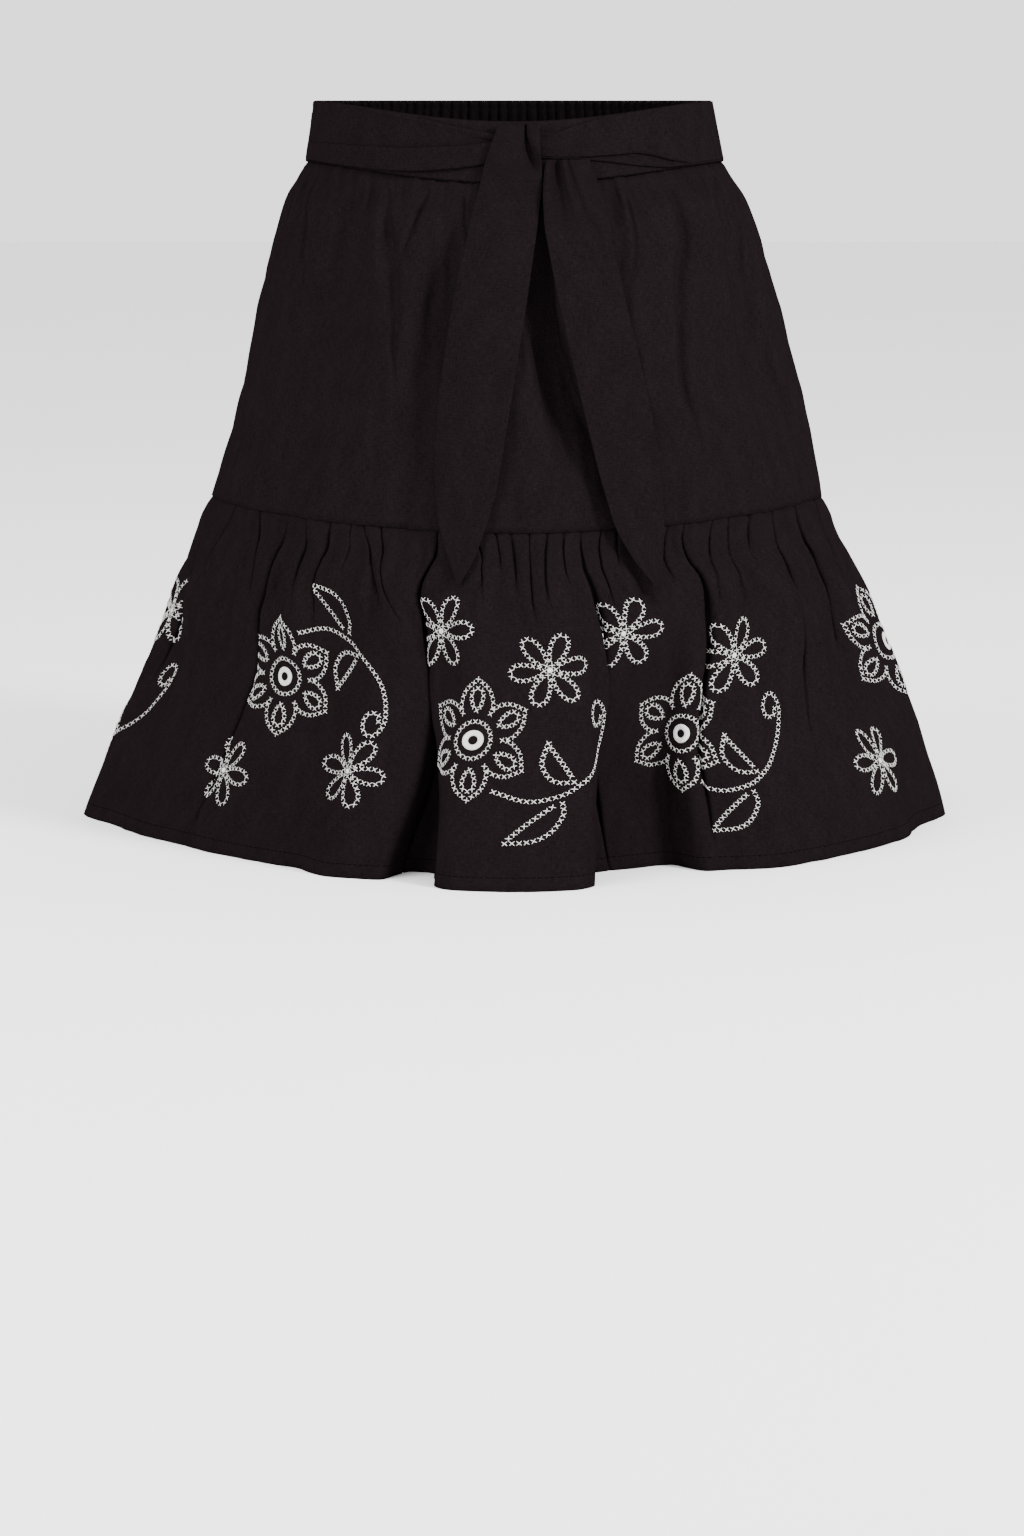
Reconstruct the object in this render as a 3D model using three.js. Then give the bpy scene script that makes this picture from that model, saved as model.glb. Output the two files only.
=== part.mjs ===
// A tiered mini skirt in dark cotton, held open as if worn: waistband (flat in front, elasticated behind),
// A-line upper, gathered ruffle, and a tie sash knotted at the front with two pointed ends.
// Millimetres. The origin is the middle of the waist, level with the waistband's top edge at the sides.
// +Z is up, the front faces -Y, and +X is to the right as the front is looked at.
import * as THREE from "three";

// Cloth
const WALL = 2;
const SEAM_GAP = 0.3;
const BAND_HEIGHT = 38.5;
const HEM_DROP = 464.6;
const TIER_SEAM_DROP = 254.1;

// The body outline at each drop below the waist. point: 1 is an ellipse, more draws the sides to a point.
// shift: how far the outline's middle lies towards +X. frontDip: how far the front hangs below the sides.
const BODY = table(["drop", "halfWidth", "halfDepth", "point", "shift", "frontDip"], [
  [0, 125.5, 97, 1, 0, 12.5],
  [38.5, 132.5, 103.5, 1, 1, 12],
  [60, 143.5, 114, 1.05, 1, 11.5],
  [90, 155.5, 124, 1.12, 2, 10.7],
  [130, 168, 135, 1.2, 4, 9.7],
  [171, 177.5, 142.5, 1.28, 5, 8.6],
  [212, 186.5, 148.5, 1.34, 5, 7.6],
  [254.2, 197.5, 155.5, 1.4, 2, 6.5],
  [275, 207, 165, 1.5, 3, 5.9],
  [317, 228, 180.5, 1.6, 5, 4.6],
  [360, 245, 195.5, 1.72, 6, 3.2],
  [402, 263, 208.5, 1.81, 4, 1.9],
  [464.6, 285, 222, 1.9, 1, 0],
]);
const DIP_POWER = 3;
// How far from the sides, as a cosine, the pointed outline is rounded off
const SIDE_ROUNDING = 0.28;

// Folds. at: cloth mm from the front's middle at the lower edge. lean: how much further along it starts at
// the top. out: its height, minus for a hollow. crest: half its level top. flank: the width of each slope.
// It grows from start to peak, as shares of the tier's height, and keeps the share end at the lower edge.
const FOLD_COLUMNS = ["at", "lean", "out", "crest", "flank", "start", "peak", "end"];
const UPPER_FOLDS = table(FOLD_COLUMNS, [
  [-150, 0, -7, 6, 50, 0, 0.4, 0],
  [-60, 0, -5, 4, 40, 0, 0.4, 0],
  [215, 0, -8, 4, 36, 0, 0.45, 0],
  [120, 0, 5, 6, 50, 0, 0.4, 0],
  [430, 0, -6, 6, 46, 0, 0.4, 0],
  [-400, 0, -6, 6, 46, 0, 0.4, 0],
]);
const RUFFLE_FOLDS = table(FOLD_COLUMNS, [
  [0, 0, 26, 32, 42, 0, 1, 1],
  [-90, 0, -31, 5, 36, 0, 0.9, 1],
  [-146, 6, 12, 14, 36, 0, 0.9, 1],
  [108, 5, -30, 26, 36, 0, 0.9, 1],
  [-270, 35, -8, 6, 40, 0, 0.5, 0.35],
  [-375, -30, -9, 4, 34, 0, 0.4, 0.3],
  [215, 10, -7, 4, 36, 0, 0.4, 0],
  [325, 10, -8, 4, 36, 0, 0.4, 0.2],
  [270, 0, 17, 50, 60, 0.1, 0.9, 1],
  [-205, 0, 6, 20, 40, 0, 0.8, 1],
  [470, -10, -20, 8, 44, 0, 0.8, 1],
  [560, 10, 18, 14, 44, 0, 0.9, 1],
  [660, 0, -24, 10, 42, 0, 0.8, 1],
  [752, 0, 18, 18, 40, 0, 0.9, 1],
  [-812, 0, -22, 12, 40, 0, 0.8, 1],
  [-715, 0, 20, 16, 44, 0, 0.9, 1],
  [-615, 0, -24, 10, 42, 0, 0.8, 1],
  [-510, 0, 14, 12, 44, 0, 0.9, 1],
]);

// Gathers. count: waves all round. phase and wobble make them uneven. They come in from start to full and
// die away from fade to gone, as shares of the tier's height, to the share left.
const GATHER_COLUMNS = ["count", "phase", "wobble", "start", "full", "fade", "gone", "left"];
const UPPER_GATHERS = table(GATHER_COLUMNS, [
  [52, 0.7, 1, -1, 0, 0, 0.2, 0],
  [26, 1.9, 1.3, 0.02, 0.15, 0.3, 1, 0],
  [14, 0.5, 1.2, 0.2, 0.5, 0.6, 1, 0.3],
]);
const RUFFLE_GATHERS = table(GATHER_COLUMNS, [
  [84, 0.3, 0.9, -1, 0, 0.02, 0.55, 0],
  [44, 1.1, 1.2, 0.05, 0.3, 0.45, 0.95, 0.15],
  [21, 0.5, 0.9, 0.3, 0.8, 0.9, 1, 1],
]);

// The two tiers. cutTop and cutBottom: the flat cloth's width all round. backFuller: how much more the back
// is gathered than the front. The seam above presses the gathers to the share pressed of their depth, and
// they stand free from the share pressedTo of the height. levels: the rows of points, as shares of the height.
const UPPER = {
  top: BAND_HEIGHT + SEAM_GAP,
  bottom: TIER_SEAM_DROP,
  cutTop: 885,
  cutBottom: 1096,
  backFuller: 0.3,
  pressed: 0.3,
  pressedTo: 0.06,
  folds: UPPER_FOLDS,
  gathers: UPPER_GATHERS,
  levels: [0, 0.05, 0.14, 0.28, 0.48, 0.74, 1],
};
const RUFFLE = {
  top: TIER_SEAM_DROP + SEAM_GAP,
  bottom: HEM_DROP,
  cutTop: 1400,
  cutBottom: 1710,
  backFuller: 0,
  pressed: 0.2,
  pressedTo: 0.07,
  folds: RUFFLE_FOLDS,
  gathers: RUFFLE_GATHERS,
  levels: [0, 0.07, 0.17, 0.3, 0.45, 0.62, 0.8, 1],
};

// The elasticated back of the waistband
const BACK_RIBS = 60;
const RIB_DEPTH = 2.6;
const RIB_WOBBLE = 0.25;
const BAND_FRONT_COLUMNS = 32;

// The sash across the front band. angle: degrees round from the front's middle. top and foot: its edges
// below the band's top edge. fold: the share of its width at which the cloth doubles.
const SASH_COLUMNS = ["angle", "top", "foot", "fold"];
const LEFT_SASH = table(SASH_COLUMNS, [
  [-88.5, 0.4, 37.6, 0.7],
  [-50, 0.2, 37.8, 0.66],
  [-25, 0, 34.5, 0.55],
  [-14, 3.5, 30, 0.42],
  [-6, 7, 26, 0.3],
  [0.4, 9, 24, 0.3],
]);
const RIGHT_SASH = table(SASH_COLUMNS, [
  [0.7, 7, 20, 0.7],
  [5.5, 5, 21, 0.7],
  [12, 3.5, 24, 0.75],
  [17.5, 3, 24, 0.8],
  [24.5, 0.4, 27.5, 0.85],
  [35, 0, 33, 0.85],
  [46, 0, 37.6, 0.85],
  [88.5, 0.4, 37.6, 0.85],
]);
const SASH_SINGLE = 1.5;
const SASH_DOUBLE = 2.7;
const SASH_STEP = 0.05;
const SASH_STRETCHES = 24;

// The sash's ends. drop: below the waist. middle: the X of the end's middle. half: half its width.
// lift: how far its inside stands out from the body outline.
const END_COLUMNS = ["drop", "middle", "half", "lift"];
const KNOT = table(END_COLUMNS, [
  [15, 3.6, 12.6, 2.5],
  [19, 3, 13.4, 4.4],
  [26, 1.6, 14.8, 4.6],
  [33, 0.6, 16.2, 4.5],
  [39.5, 0, 17.7, 4.3],
]);
const LEFT_END = table(END_COLUMNS, [
  [39.8, 0, 17.8, 4.2],
  [51, -1.2, 19, 2.4],
  [64, -3.7, 20, 3],
  [78, -6.3, 20.9, 3.8],
  [108, -11.9, 22.2, 4],
  [145, -18, 22.7, 2.6],
  [182, -23.6, 22.3, 1.8],
  [209, -26.6, 21.1, 2.5],
  [236, -29, 18.6, 2.8],
  [256.5, -30.8, 14.4, 3.3],
  [275.6, -31.6, 7.9, 4.9],
  [290.2, -33.4, 0.8, 5],
]);
const RIGHT_END = table(END_COLUMNS, [
  [37.2, 33.4, 13.1, 1.8],
  [47, 35, 16.1, 3],
  [58, 36.7, 18.3, 4.6],
  [78, 39.6, 20.2, 4.9],
  [118.6, 47.8, 20.4, 3.3],
  [155, 56.6, 20.7, 2.1],
  [192, 65, 20.5, 2.3],
  [226, 72, 19, 2.7],
  [254, 77.2, 15.8, 4.6],
  [262, 78.8, 14.2, 5.8],
  [279, 83.5, 8.2, 6.6],
  [293.7, 88.9, 0.9, 5.6],
]);
const END_WALL = 2;
const END_STRETCHES = 6;
const KNOT_WALL = { edge: 1.6, middle: 4.6 };

// How finely the outline and the cloth are stepped when a ring is worked out
const OUTLINE_STEPS = 720;
const NORMAL_SPREAD = 15;
const CLOTH_STEPS = 1700;
const DRIFT_SPAN = 60;
const MOST_SWING = 2.2;
const STEEPEST = 0.97;
const TOP_FLANK = 0.45;
// The wall's thickness leans with the folds by this share of their slope, evened over this many steps
const TURN_SHARE = 0.5;
const TURN_SPREAD = 4;
// The gap at a side seam as laid along the cloth, half to each side, and the step that finds a direction
const SIDE_GAP = SEAM_GAP * 0.6;
const DIRECTION_STEP = 1e-3;

function table(columns, rows) {
  return rows.map((row) => Object.fromEntries(columns.map((name, i) => [name, row[i]])));
}

function smooth(x) {
  const t = Math.min(1, Math.max(0, x));
  return t * t * (3 - 2 * t);
}

// The value of one column of a table at a place between two rows.
function between(rows, key, column, place) {
  let i = 1;
  while (i < rows.length - 1 && rows[i][key] < place) i += 1;
  const [low, high] = [rows[i - 1], rows[i]];
  const share = Math.min(1, Math.max(0, (place - low[key]) / (high[key] - low[key])));
  return low[column] + (high[column] - low[column]) * share;
}

// The value at a place along rising positions, and an index's share between two of them.
function along(positions, values, place) {
  let low = 0;
  let high = positions.length - 1;
  while (high - low > 1) {
    const middle = (low + high) >> 1;
    if (positions[middle] <= place) low = middle;
    else high = middle;
  }
  const share = (place - positions[low]) / (positions[high] - positions[low]);
  return values[low] + (values[high] - values[low]) * share;
}

// A closed ring's running mean, over spread places to each side.
function runningMean(values, spread) {
  const n = values.length - 1;
  let sum = 0;
  for (let i = -spread; i <= spread; i += 1) sum += values[(i + n) % n];
  const mean = [];
  for (let i = 0; i <= n; i += 1) {
    mean.push(sum / (2 * spread + 1));
    sum += values[(i + spread + 1) % n] - values[(i - spread + n) % n];
  }
  return mean;
}

function frontDip(drop, angle) {
  return between(BODY, "drop", "frontDip", drop) * Math.max(0, Math.cos(angle)) ** DIP_POWER;
}

// An outline's depth, as a share of its half depth, from the cosine of the angle round.
function sideShape(cos, point) {
  const power = (point - 1) / 2;
  return (cos * (cos ** 2 + SIDE_ROUNDING ** 2) ** power) / (1 + SIDE_ROUNDING ** 2) ** power;
}

function bodySizes(drop) {
  return ["halfWidth", "halfDepth", "point", "shift"].map((column) => between(BODY, "drop", column, drop));
}

// The point of the body outline at an angle round from the front's middle.
function bodyPoint(drop, angle) {
  const [halfWidth, halfDepth, point, shift] = bodySizes(drop);
  return {
    x: shift + halfWidth * Math.sin(angle),
    y: -halfDepth * sideShape(Math.cos(angle), point),
  };
}

// The whole outline at a drop, with the way along it and its softened outward direction.
function outline(drop) {
  const angle = [];
  const x = [];
  const y = [];
  const way = [0];
  for (let i = 0; i <= OUTLINE_STEPS; i += 1) {
    angle.push((i / OUTLINE_STEPS - 0.5) * 2 * Math.PI);
    const point = bodyPoint(drop, angle[i]);
    x.push(point.x);
    y.push(point.y);
    if (i > 0) way.push(way[i - 1] + Math.hypot(x[i] - x[i - 1], y[i] - y[i - 1]));
  }
  const outX = [];
  const outY = [];
  for (let i = 0; i <= OUTLINE_STEPS; i += 1) {
    const before = (i - 1 + OUTLINE_STEPS) % OUTLINE_STEPS;
    const after = (i + 1) % OUTLINE_STEPS;
    const length = Math.hypot(x[after] - x[before], y[after] - y[before]);
    outX.push((y[after] - y[before]) / length);
    outY.push(-(x[after] - x[before]) / length);
  }
  const softX = runningMean(outX, NORMAL_SPREAD);
  const softY = runningMean(outY, NORMAL_SPREAD);
  return { angle, x, y, way, outX: softX, outY: softY, length: way[OUTLINE_STEPS] };
}

function foldHeight(tier, u, v) {
  let height = 0;
  for (const fold of tier.folds) {
    const rise = smooth((v - fold.start) / (fold.peak - fold.start));
    const fade = 1 - (1 - fold.end) * smooth((v - fold.peak) / Math.max(1 - fold.peak, 0.001));
    const apart = u - fold.at - fold.lean * (1 - v);
    const away = apart - tier.cutBottom * Math.round(apart / tier.cutBottom);
    const flank = fold.flank * (TOP_FLANK + (1 - TOP_FLANK) * v);
    height += fold.out * rise * fade * (1 - smooth((Math.abs(away) - fold.crest) / flank));
  }
  return height;
}

function gatherPhase(tier, gather, u) {
  const turn = (2 * Math.PI * u) / tier.cutBottom;
  const uneven = Math.sin(7 * turn + gather.phase) + 0.7 * Math.sin(17 * turn + 2 * gather.phase);
  return gather.count * turn + gather.phase + gather.wobble * uneven;
}

function gatherWave(tier, u, v) {
  let wave = 0;
  for (const gather of tier.gathers) {
    const rise = smooth((v - gather.start) / (gather.full - gather.start));
    const fade = 1 - (1 - gather.left) * smooth((v - gather.fade) / (gather.gone - gather.fade));
    wave += rise * fade * Math.sin(gatherPhase(tier, gather, u));
  }
  return wave * (1 - tier.backFuller * Math.cos((2 * Math.PI * u) / tier.cutBottom));
}

// One ring of cloth: the flat cloth's width is kept, so it swings in and out of the body outline in gathers
// just deep enough to take up what the folds leave over.
function clothRing(tier, v) {
  const drop = tier.top + (tier.bottom - tier.top) * v;
  const step = (tier.cutTop + (tier.cutBottom - tier.cutTop) * v) / CLOTH_STEPS;
  const body = outline(drop);
  const u = [];
  const fold = [];
  for (let i = 0; i <= CLOTH_STEPS; i += 1) {
    u.push((i / CLOTH_STEPS - 0.5) * tier.cutBottom);
    fold.push(foldHeight(tier, u[i], v));
  }
  const slope = [];
  const wave = [];
  for (let i = 0; i < CLOTH_STEPS; i += 1) {
    const rise = (fold[i + 1] - fold[i]) / step;
    slope.push(Math.asin(Math.min(STEEPEST, Math.max(-STEEPEST, rise))));
    wave.push(gatherWave(tier, (u[i] + u[i + 1]) / 2, v));
  }
  let swing = 0;
  for (let part = MOST_SWING / 2; part > 1e-6; part /= 2) {
    const reach = slope.reduce((sum, s, i) => sum + Math.cos(s + (swing + part) * wave[i]), 0);
    if (reach * step > body.length) swing += part;
  }
  const way = [0];
  const height = [0];
  const plain = [0];
  for (let i = 0; i < CLOTH_STEPS; i += 1) {
    way.push(way[i] + step * Math.cos(slope[i] + swing * wave[i]));
    height.push(height[i] + step * Math.sin(slope[i] + swing * wave[i]));
    plain.push(plain[i] + Math.cos(slope[i]));
  }
  const drift = height[CLOTH_STEPS] / CLOTH_STEPS;
  const wayScale = body.length / way[CLOTH_STEPS];
  const plainScale = body.length / plain[CLOTH_STEPS];
  const wayOff = way.map((w, i) => w * wayScale - plain[i] * plainScale);
  const heightOff = height.map((h, i) => h - drift * i - fold[i]);
  const spread = Math.floor(DRIFT_SPAN / step / 2);
  const slowWay = runningMean(runningMean(wayOff, spread), spread);
  const slowHeight = runningMean(runningMean(heightOff, spread), spread);
  const place = plain.map((p, i) => p * plainScale + wayOff[i] - slowWay[i]);
  const start = body.length / 2 - place[CLOTH_STEPS / 2];
  const ring = { u, x: [], y: [], z: [], outX: [], outY: [] };
  const turned = runningMean([...slope, slope[0]], TURN_SPREAD);
  const press = tier.pressed + (1 - tier.pressed) * smooth(v / tier.pressedTo);
  for (let i = 0; i <= CLOTH_STEPS; i += 1) {
    const at = (place[i] + start + body.length) % body.length;
    const out = fold[i] + (heightOff[i] - slowHeight[i]) * press;
    const outX = along(body.way, body.outX, at);
    const outY = along(body.way, body.outY, at);
    const length = Math.hypot(outX, outY);
    const turn = -turned[i] * TURN_SHARE;
    ring.x.push(along(body.way, body.x, at) + (outX / length) * out);
    ring.y.push(along(body.way, body.y, at) + (outY / length) * out);
    ring.z.push(-drop - frontDip(drop, along(body.way, body.angle, at)));
    ring.outX.push((outX * Math.cos(turn) + outY * Math.sin(turn)) / length);
    ring.outY.push((outY * Math.cos(turn) - outX * Math.sin(turn)) / length);
  }
  return ring;
}

// The cloth positions of the crests and troughs of a tier's tightest gathers.
function gatherColumns(tier) {
  const tightest = tier.gathers[0];
  const half = tier.cutBottom / 2;
  const columns = [];
  const first = Math.ceil(gatherPhase(tier, tightest, -half) / Math.PI);
  const last = Math.floor(gatherPhase(tier, tightest, half) / Math.PI);
  for (let j = first; j <= last; j += 1) {
    let low = -half;
    for (let part = half; part > 1e-4; part /= 2) {
      if (gatherPhase(tier, tightest, low + part) < j * Math.PI) low += part;
    }
    columns.push(low);
  }
  return columns;
}

// A closed wall from two grids of points with the same rows, from the top down, and columns towards +X.
function wallBetween(outer, inner) {
  const rows = outer.length;
  const columns = outer[0].length;
  const points = [...outer, ...inner].flat();
  const out = (r, c) => r * columns + c;
  const into = (r, c) => (rows + r) * columns + c;
  const index = [];
  const face = (a, b, c, d) => index.push(a, b, c, a, c, d);
  for (let r = 0; r < rows - 1; r += 1) {
    for (let c = 0; c < columns - 1; c += 1) {
      face(out(r, c), out(r + 1, c), out(r + 1, c + 1), out(r, c + 1));
      face(into(r, c), into(r, c + 1), into(r + 1, c + 1), into(r + 1, c));
    }
    face(out(r, 0), into(r, 0), into(r + 1, 0), out(r + 1, 0));
    face(out(r, columns - 1), out(r + 1, columns - 1), into(r + 1, columns - 1), into(r, columns - 1));
  }
  for (let c = 0; c < columns - 1; c += 1) {
    face(out(0, c), out(0, c + 1), into(0, c + 1), into(0, c));
    face(out(rows - 1, c), into(rows - 1, c), into(rows - 1, c + 1), out(rows - 1, c + 1));
  }
  const geometry = new THREE.BufferGeometry();
  geometry.setAttribute("position", new THREE.Float32BufferAttribute(points.flat(), 3));
  geometry.setIndex(index);
  geometry.computeVertexNormals();
  return geometry;
}

// The front or the back of a tier, between the side seams.
function tierPanel(tier, side) {
  const columns = gatherColumns(tier);
  const nearest = (u) => columns.reduce((best, c) => (Math.abs(c - u) < Math.abs(best - u) ? c : best));
  const [left, right] = [nearest(-tier.cutBottom / 4), nearest(tier.cutBottom / 4)];
  const inFront = columns.filter((u) => u > left && u < right);
  const behind = [...columns.filter((u) => u > right), ...columns.filter((u) => u < left)];
  const chosen =
    side === "front"
      ? [left + SIDE_GAP, ...inFront, right - SIDE_GAP]
      : [right + SIDE_GAP, ...behind, left - SIDE_GAP];
  const outer = [];
  const inner = [];
  for (const v of tier.levels) {
    const ring = clothRing(tier, v);
    const pointAt = (u, way) => [
      along(ring.u, ring.x, u) + (way * along(ring.u, ring.outX, u) * WALL) / 2,
      along(ring.u, ring.y, u) + (way * along(ring.u, ring.outY, u) * WALL) / 2,
      along(ring.u, ring.z, u),
    ];
    outer.push(chosen.map((u) => pointAt(u, 1)));
    inner.push(chosen.map((u) => pointAt(u, -1)));
  }
  return wallBetween(outer, inner);
}

// A point of the waistband: a drop below its top edge, an angle round, and a distance out from the outline.
function bandPoint(below, angle, out) {
  const here = bodyPoint(below, angle);
  const ahead = bodyPoint(below, angle + DIRECTION_STEP);
  const length = Math.hypot(ahead.x - here.x, ahead.y - here.y);
  return [
    here.x + ((ahead.y - here.y) / length) * out,
    here.y - ((ahead.x - here.x) / length) * out,
    -below - frontDip(below, angle),
  ];
}

function bandGeometry(angles, ribs) {
  const levels = [0, BAND_HEIGHT / 2, BAND_HEIGHT];
  const side = (way) =>
    levels.map((below) => angles.map((angle, i) => bandPoint(below, angle, (way * WALL) / 2 + ribs(i))));
  return wallBetween(side(1), side(-1));
}

function frontBand() {
  const gap = SIDE_GAP / BODY[0].halfDepth;
  const angles = [];
  for (let i = 0; i <= BAND_FRONT_COLUMNS; i += 1) {
    angles.push((i / BAND_FRONT_COLUMNS - 0.5) * (Math.PI - 2 * gap));
  }
  return bandGeometry(angles, () => 0);
}

function backBand() {
  const gap = SIDE_GAP / BODY[0].halfDepth;
  const last = 2 * BACK_RIBS;
  const angles = [];
  for (let i = 0; i <= last; i += 1) {
    const uneven = i > 0 && i < last ? RIB_WOBBLE * Math.sin(i * i * 0.37) : 0;
    angles.push(Math.PI / 2 + gap + ((i + uneven) / last) * (Math.PI - 2 * gap));
  }
  return bandGeometry(angles, (i) => (i % 2 === 0 ? -0.5 : 0.5) * RIB_DEPTH);
}

// One side of the sash: the band's own points moved out, with the cloth doubled below its fold.
function sashWrap(rows) {
  const first = rows[0].angle;
  const last = rows[rows.length - 1].angle;
  const outer = [[], [], [], []];
  const inner = [[], [], [], []];
  for (let i = 0; i <= SASH_STRETCHES; i += 1) {
    const degrees = first + ((last - first) * i) / SASH_STRETCHES;
    const [top, foot, fold] = ["top", "foot", "fold"].map((column) => between(rows, "angle", column, degrees));
    const shares = [0, fold - SASH_STEP, fold + SASH_STEP, 1];
    const depths = [SASH_SINGLE, SASH_SINGLE, SASH_DOUBLE, SASH_DOUBLE];
    shares.forEach((share, row) => {
      const below = top + (foot - top) * share;
      const angle = THREE.MathUtils.degToRad(degrees);
      const under = WALL / 2 + SEAM_GAP;
      outer[row].push(bandPoint(below, angle, under + depths[row]));
      inner[row].push(bandPoint(below, angle, under));
    });
  }
  return wallBetween(outer, inner);
}

// A hanging end of the sash, or the knot: it lies on the body outline, lifted clear of the cloth below.
function sashEnd(rows, wallAt) {
  const outer = [];
  const inner = [];
  for (const { drop, middle, half, lift } of rows) {
    const [outerRow, innerRow] = [[], []];
    const level = drop - frontDip(drop, 0);
    const [halfWidth, halfDepth, point, shift] = bodySizes(level);
    for (let i = 0; i <= END_STRETCHES; i += 1) {
      const across = (i / END_STRETCHES - 0.5) * 2;
      const x = middle + half * across;
      const cos = Math.sqrt(1 - ((x - shift) / halfWidth) ** 2);
      const y = -halfDepth * sideShape(cos, point) - lift;
      const wall = wallAt(across);
      outerRow.push([x, y - wall, -drop]);
      innerRow.push([x, y, -drop]);
    }
    outer.push(outerRow);
    inner.push(innerRow);
  }
  return wallBetween(outer, inner);
}

function knotWall(across) {
  return KNOT_WALL.edge + (KNOT_WALL.middle - KNOT_WALL.edge) * (1 - across ** 2);
}

const cotton = new THREE.MeshStandardMaterial({ color: 0x201a1e, roughness: 0.9, metalness: 0 });
const elasticBand = new THREE.MeshStandardMaterial({ color: 0x1d181b, roughness: 0.92, metalness: 0 });

const skirt = new THREE.Group();
const pieces = [
  ["waistband_front", frontBand(), cotton],
  ["waistband_back", backBand(), elasticBand],
  ["upper_front", tierPanel(UPPER, "front"), cotton],
  ["upper_back", tierPanel(UPPER, "back"), cotton],
  ["ruffle_front", tierPanel(RUFFLE, "front"), cotton],
  ["ruffle_back", tierPanel(RUFFLE, "back"), cotton],
  ["sash_left", sashWrap(LEFT_SASH), cotton],
  ["sash_right", sashWrap(RIGHT_SASH), cotton],
  ["sash_knot", sashEnd(KNOT, knotWall), cotton],
  ["sash_end_left", sashEnd(LEFT_END, () => END_WALL), cotton],
  ["sash_end_right", sashEnd(RIGHT_END, () => END_WALL), cotton],
];
for (const [name, geometry, material] of pieces) {
  const mesh = new THREE.Mesh(geometry, material.clone());
  mesh.name = name;
  skirt.add(mesh);
}

export default skirt;
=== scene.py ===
"""A tiered mini skirt in dark cotton with white cross-stitched flowers, dressed over its plain solids.

Lengths in the tables are millimetres, and meshes are made in metres. A drop is a distance below the
waistband's top edge at the sides. An angle or a cloth place is 0 at the front's middle and grows towards +X.
"""
import math
from collections import namedtuple

import bpy
import numpy as np
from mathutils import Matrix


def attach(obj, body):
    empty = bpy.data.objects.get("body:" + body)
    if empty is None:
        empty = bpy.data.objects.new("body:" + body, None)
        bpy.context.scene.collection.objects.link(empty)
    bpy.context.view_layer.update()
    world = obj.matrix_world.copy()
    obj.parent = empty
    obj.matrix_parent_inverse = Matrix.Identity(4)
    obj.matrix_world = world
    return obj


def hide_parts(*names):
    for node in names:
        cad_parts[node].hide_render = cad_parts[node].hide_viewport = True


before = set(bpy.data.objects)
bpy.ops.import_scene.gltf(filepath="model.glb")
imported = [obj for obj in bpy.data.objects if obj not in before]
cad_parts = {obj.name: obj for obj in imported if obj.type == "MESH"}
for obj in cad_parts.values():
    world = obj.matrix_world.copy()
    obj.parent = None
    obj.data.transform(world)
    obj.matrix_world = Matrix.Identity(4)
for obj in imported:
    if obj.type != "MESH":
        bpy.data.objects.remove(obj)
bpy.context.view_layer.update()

MM = 0.001
FULL_TURN = 2 * math.pi

# The photograph's camera, looking along +Y and down
CAMERA_PLACE = (-0.65, -2400.0, 0.0)
CAMERA_TILT = 10.26
CAMERA_LENS = 86.48

# Cloth
SEAM_GAP = 0.3
BAND_HEIGHT = 38.5
HEM_DROP = 464.6
TIER_SEAM_DROP = 254.1
COTTON = 0.6
TIE_CLOTH = 0.9
# Widths of cloth round the skirt, at each tier's top and bottom
UPPER_CUT = (885, 1096)
RUFFLE_CUT = (1400, 1710)

Body = namedtuple("Body", "drop width depth point shift dip")
BODY = [Body(*row) for row in (
    (0, 125.5, 97, 1, 0, 12.5),
    (38.5, 132.5, 103.5, 1, 1, 12),
    (60, 143.5, 114, 1.05, 1, 11.5),
    (90, 155.5, 124, 1.12, 2, 10.7),
    (130, 168, 135, 1.2, 4, 9.7),
    (171, 177.5, 142.5, 1.28, 5, 8.6),
    (212, 186.5, 148.5, 1.34, 5, 7.6),
    (254.2, 197.5, 155.5, 1.4, 2, 6.5),
    (275, 207, 165, 1.5, 3, 5.9),
    (317, 228, 180.5, 1.6, 5, 4.6),
    (360, 245, 195.5, 1.72, 6, 3.2),
    (402, 263, 208.5, 1.81, 4, 1.9),
    (464.6, 285, 222, 1.9, 1, 0),
)]
DIP_POWER = 3
SIDE_ROUNDING = 0.28

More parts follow.
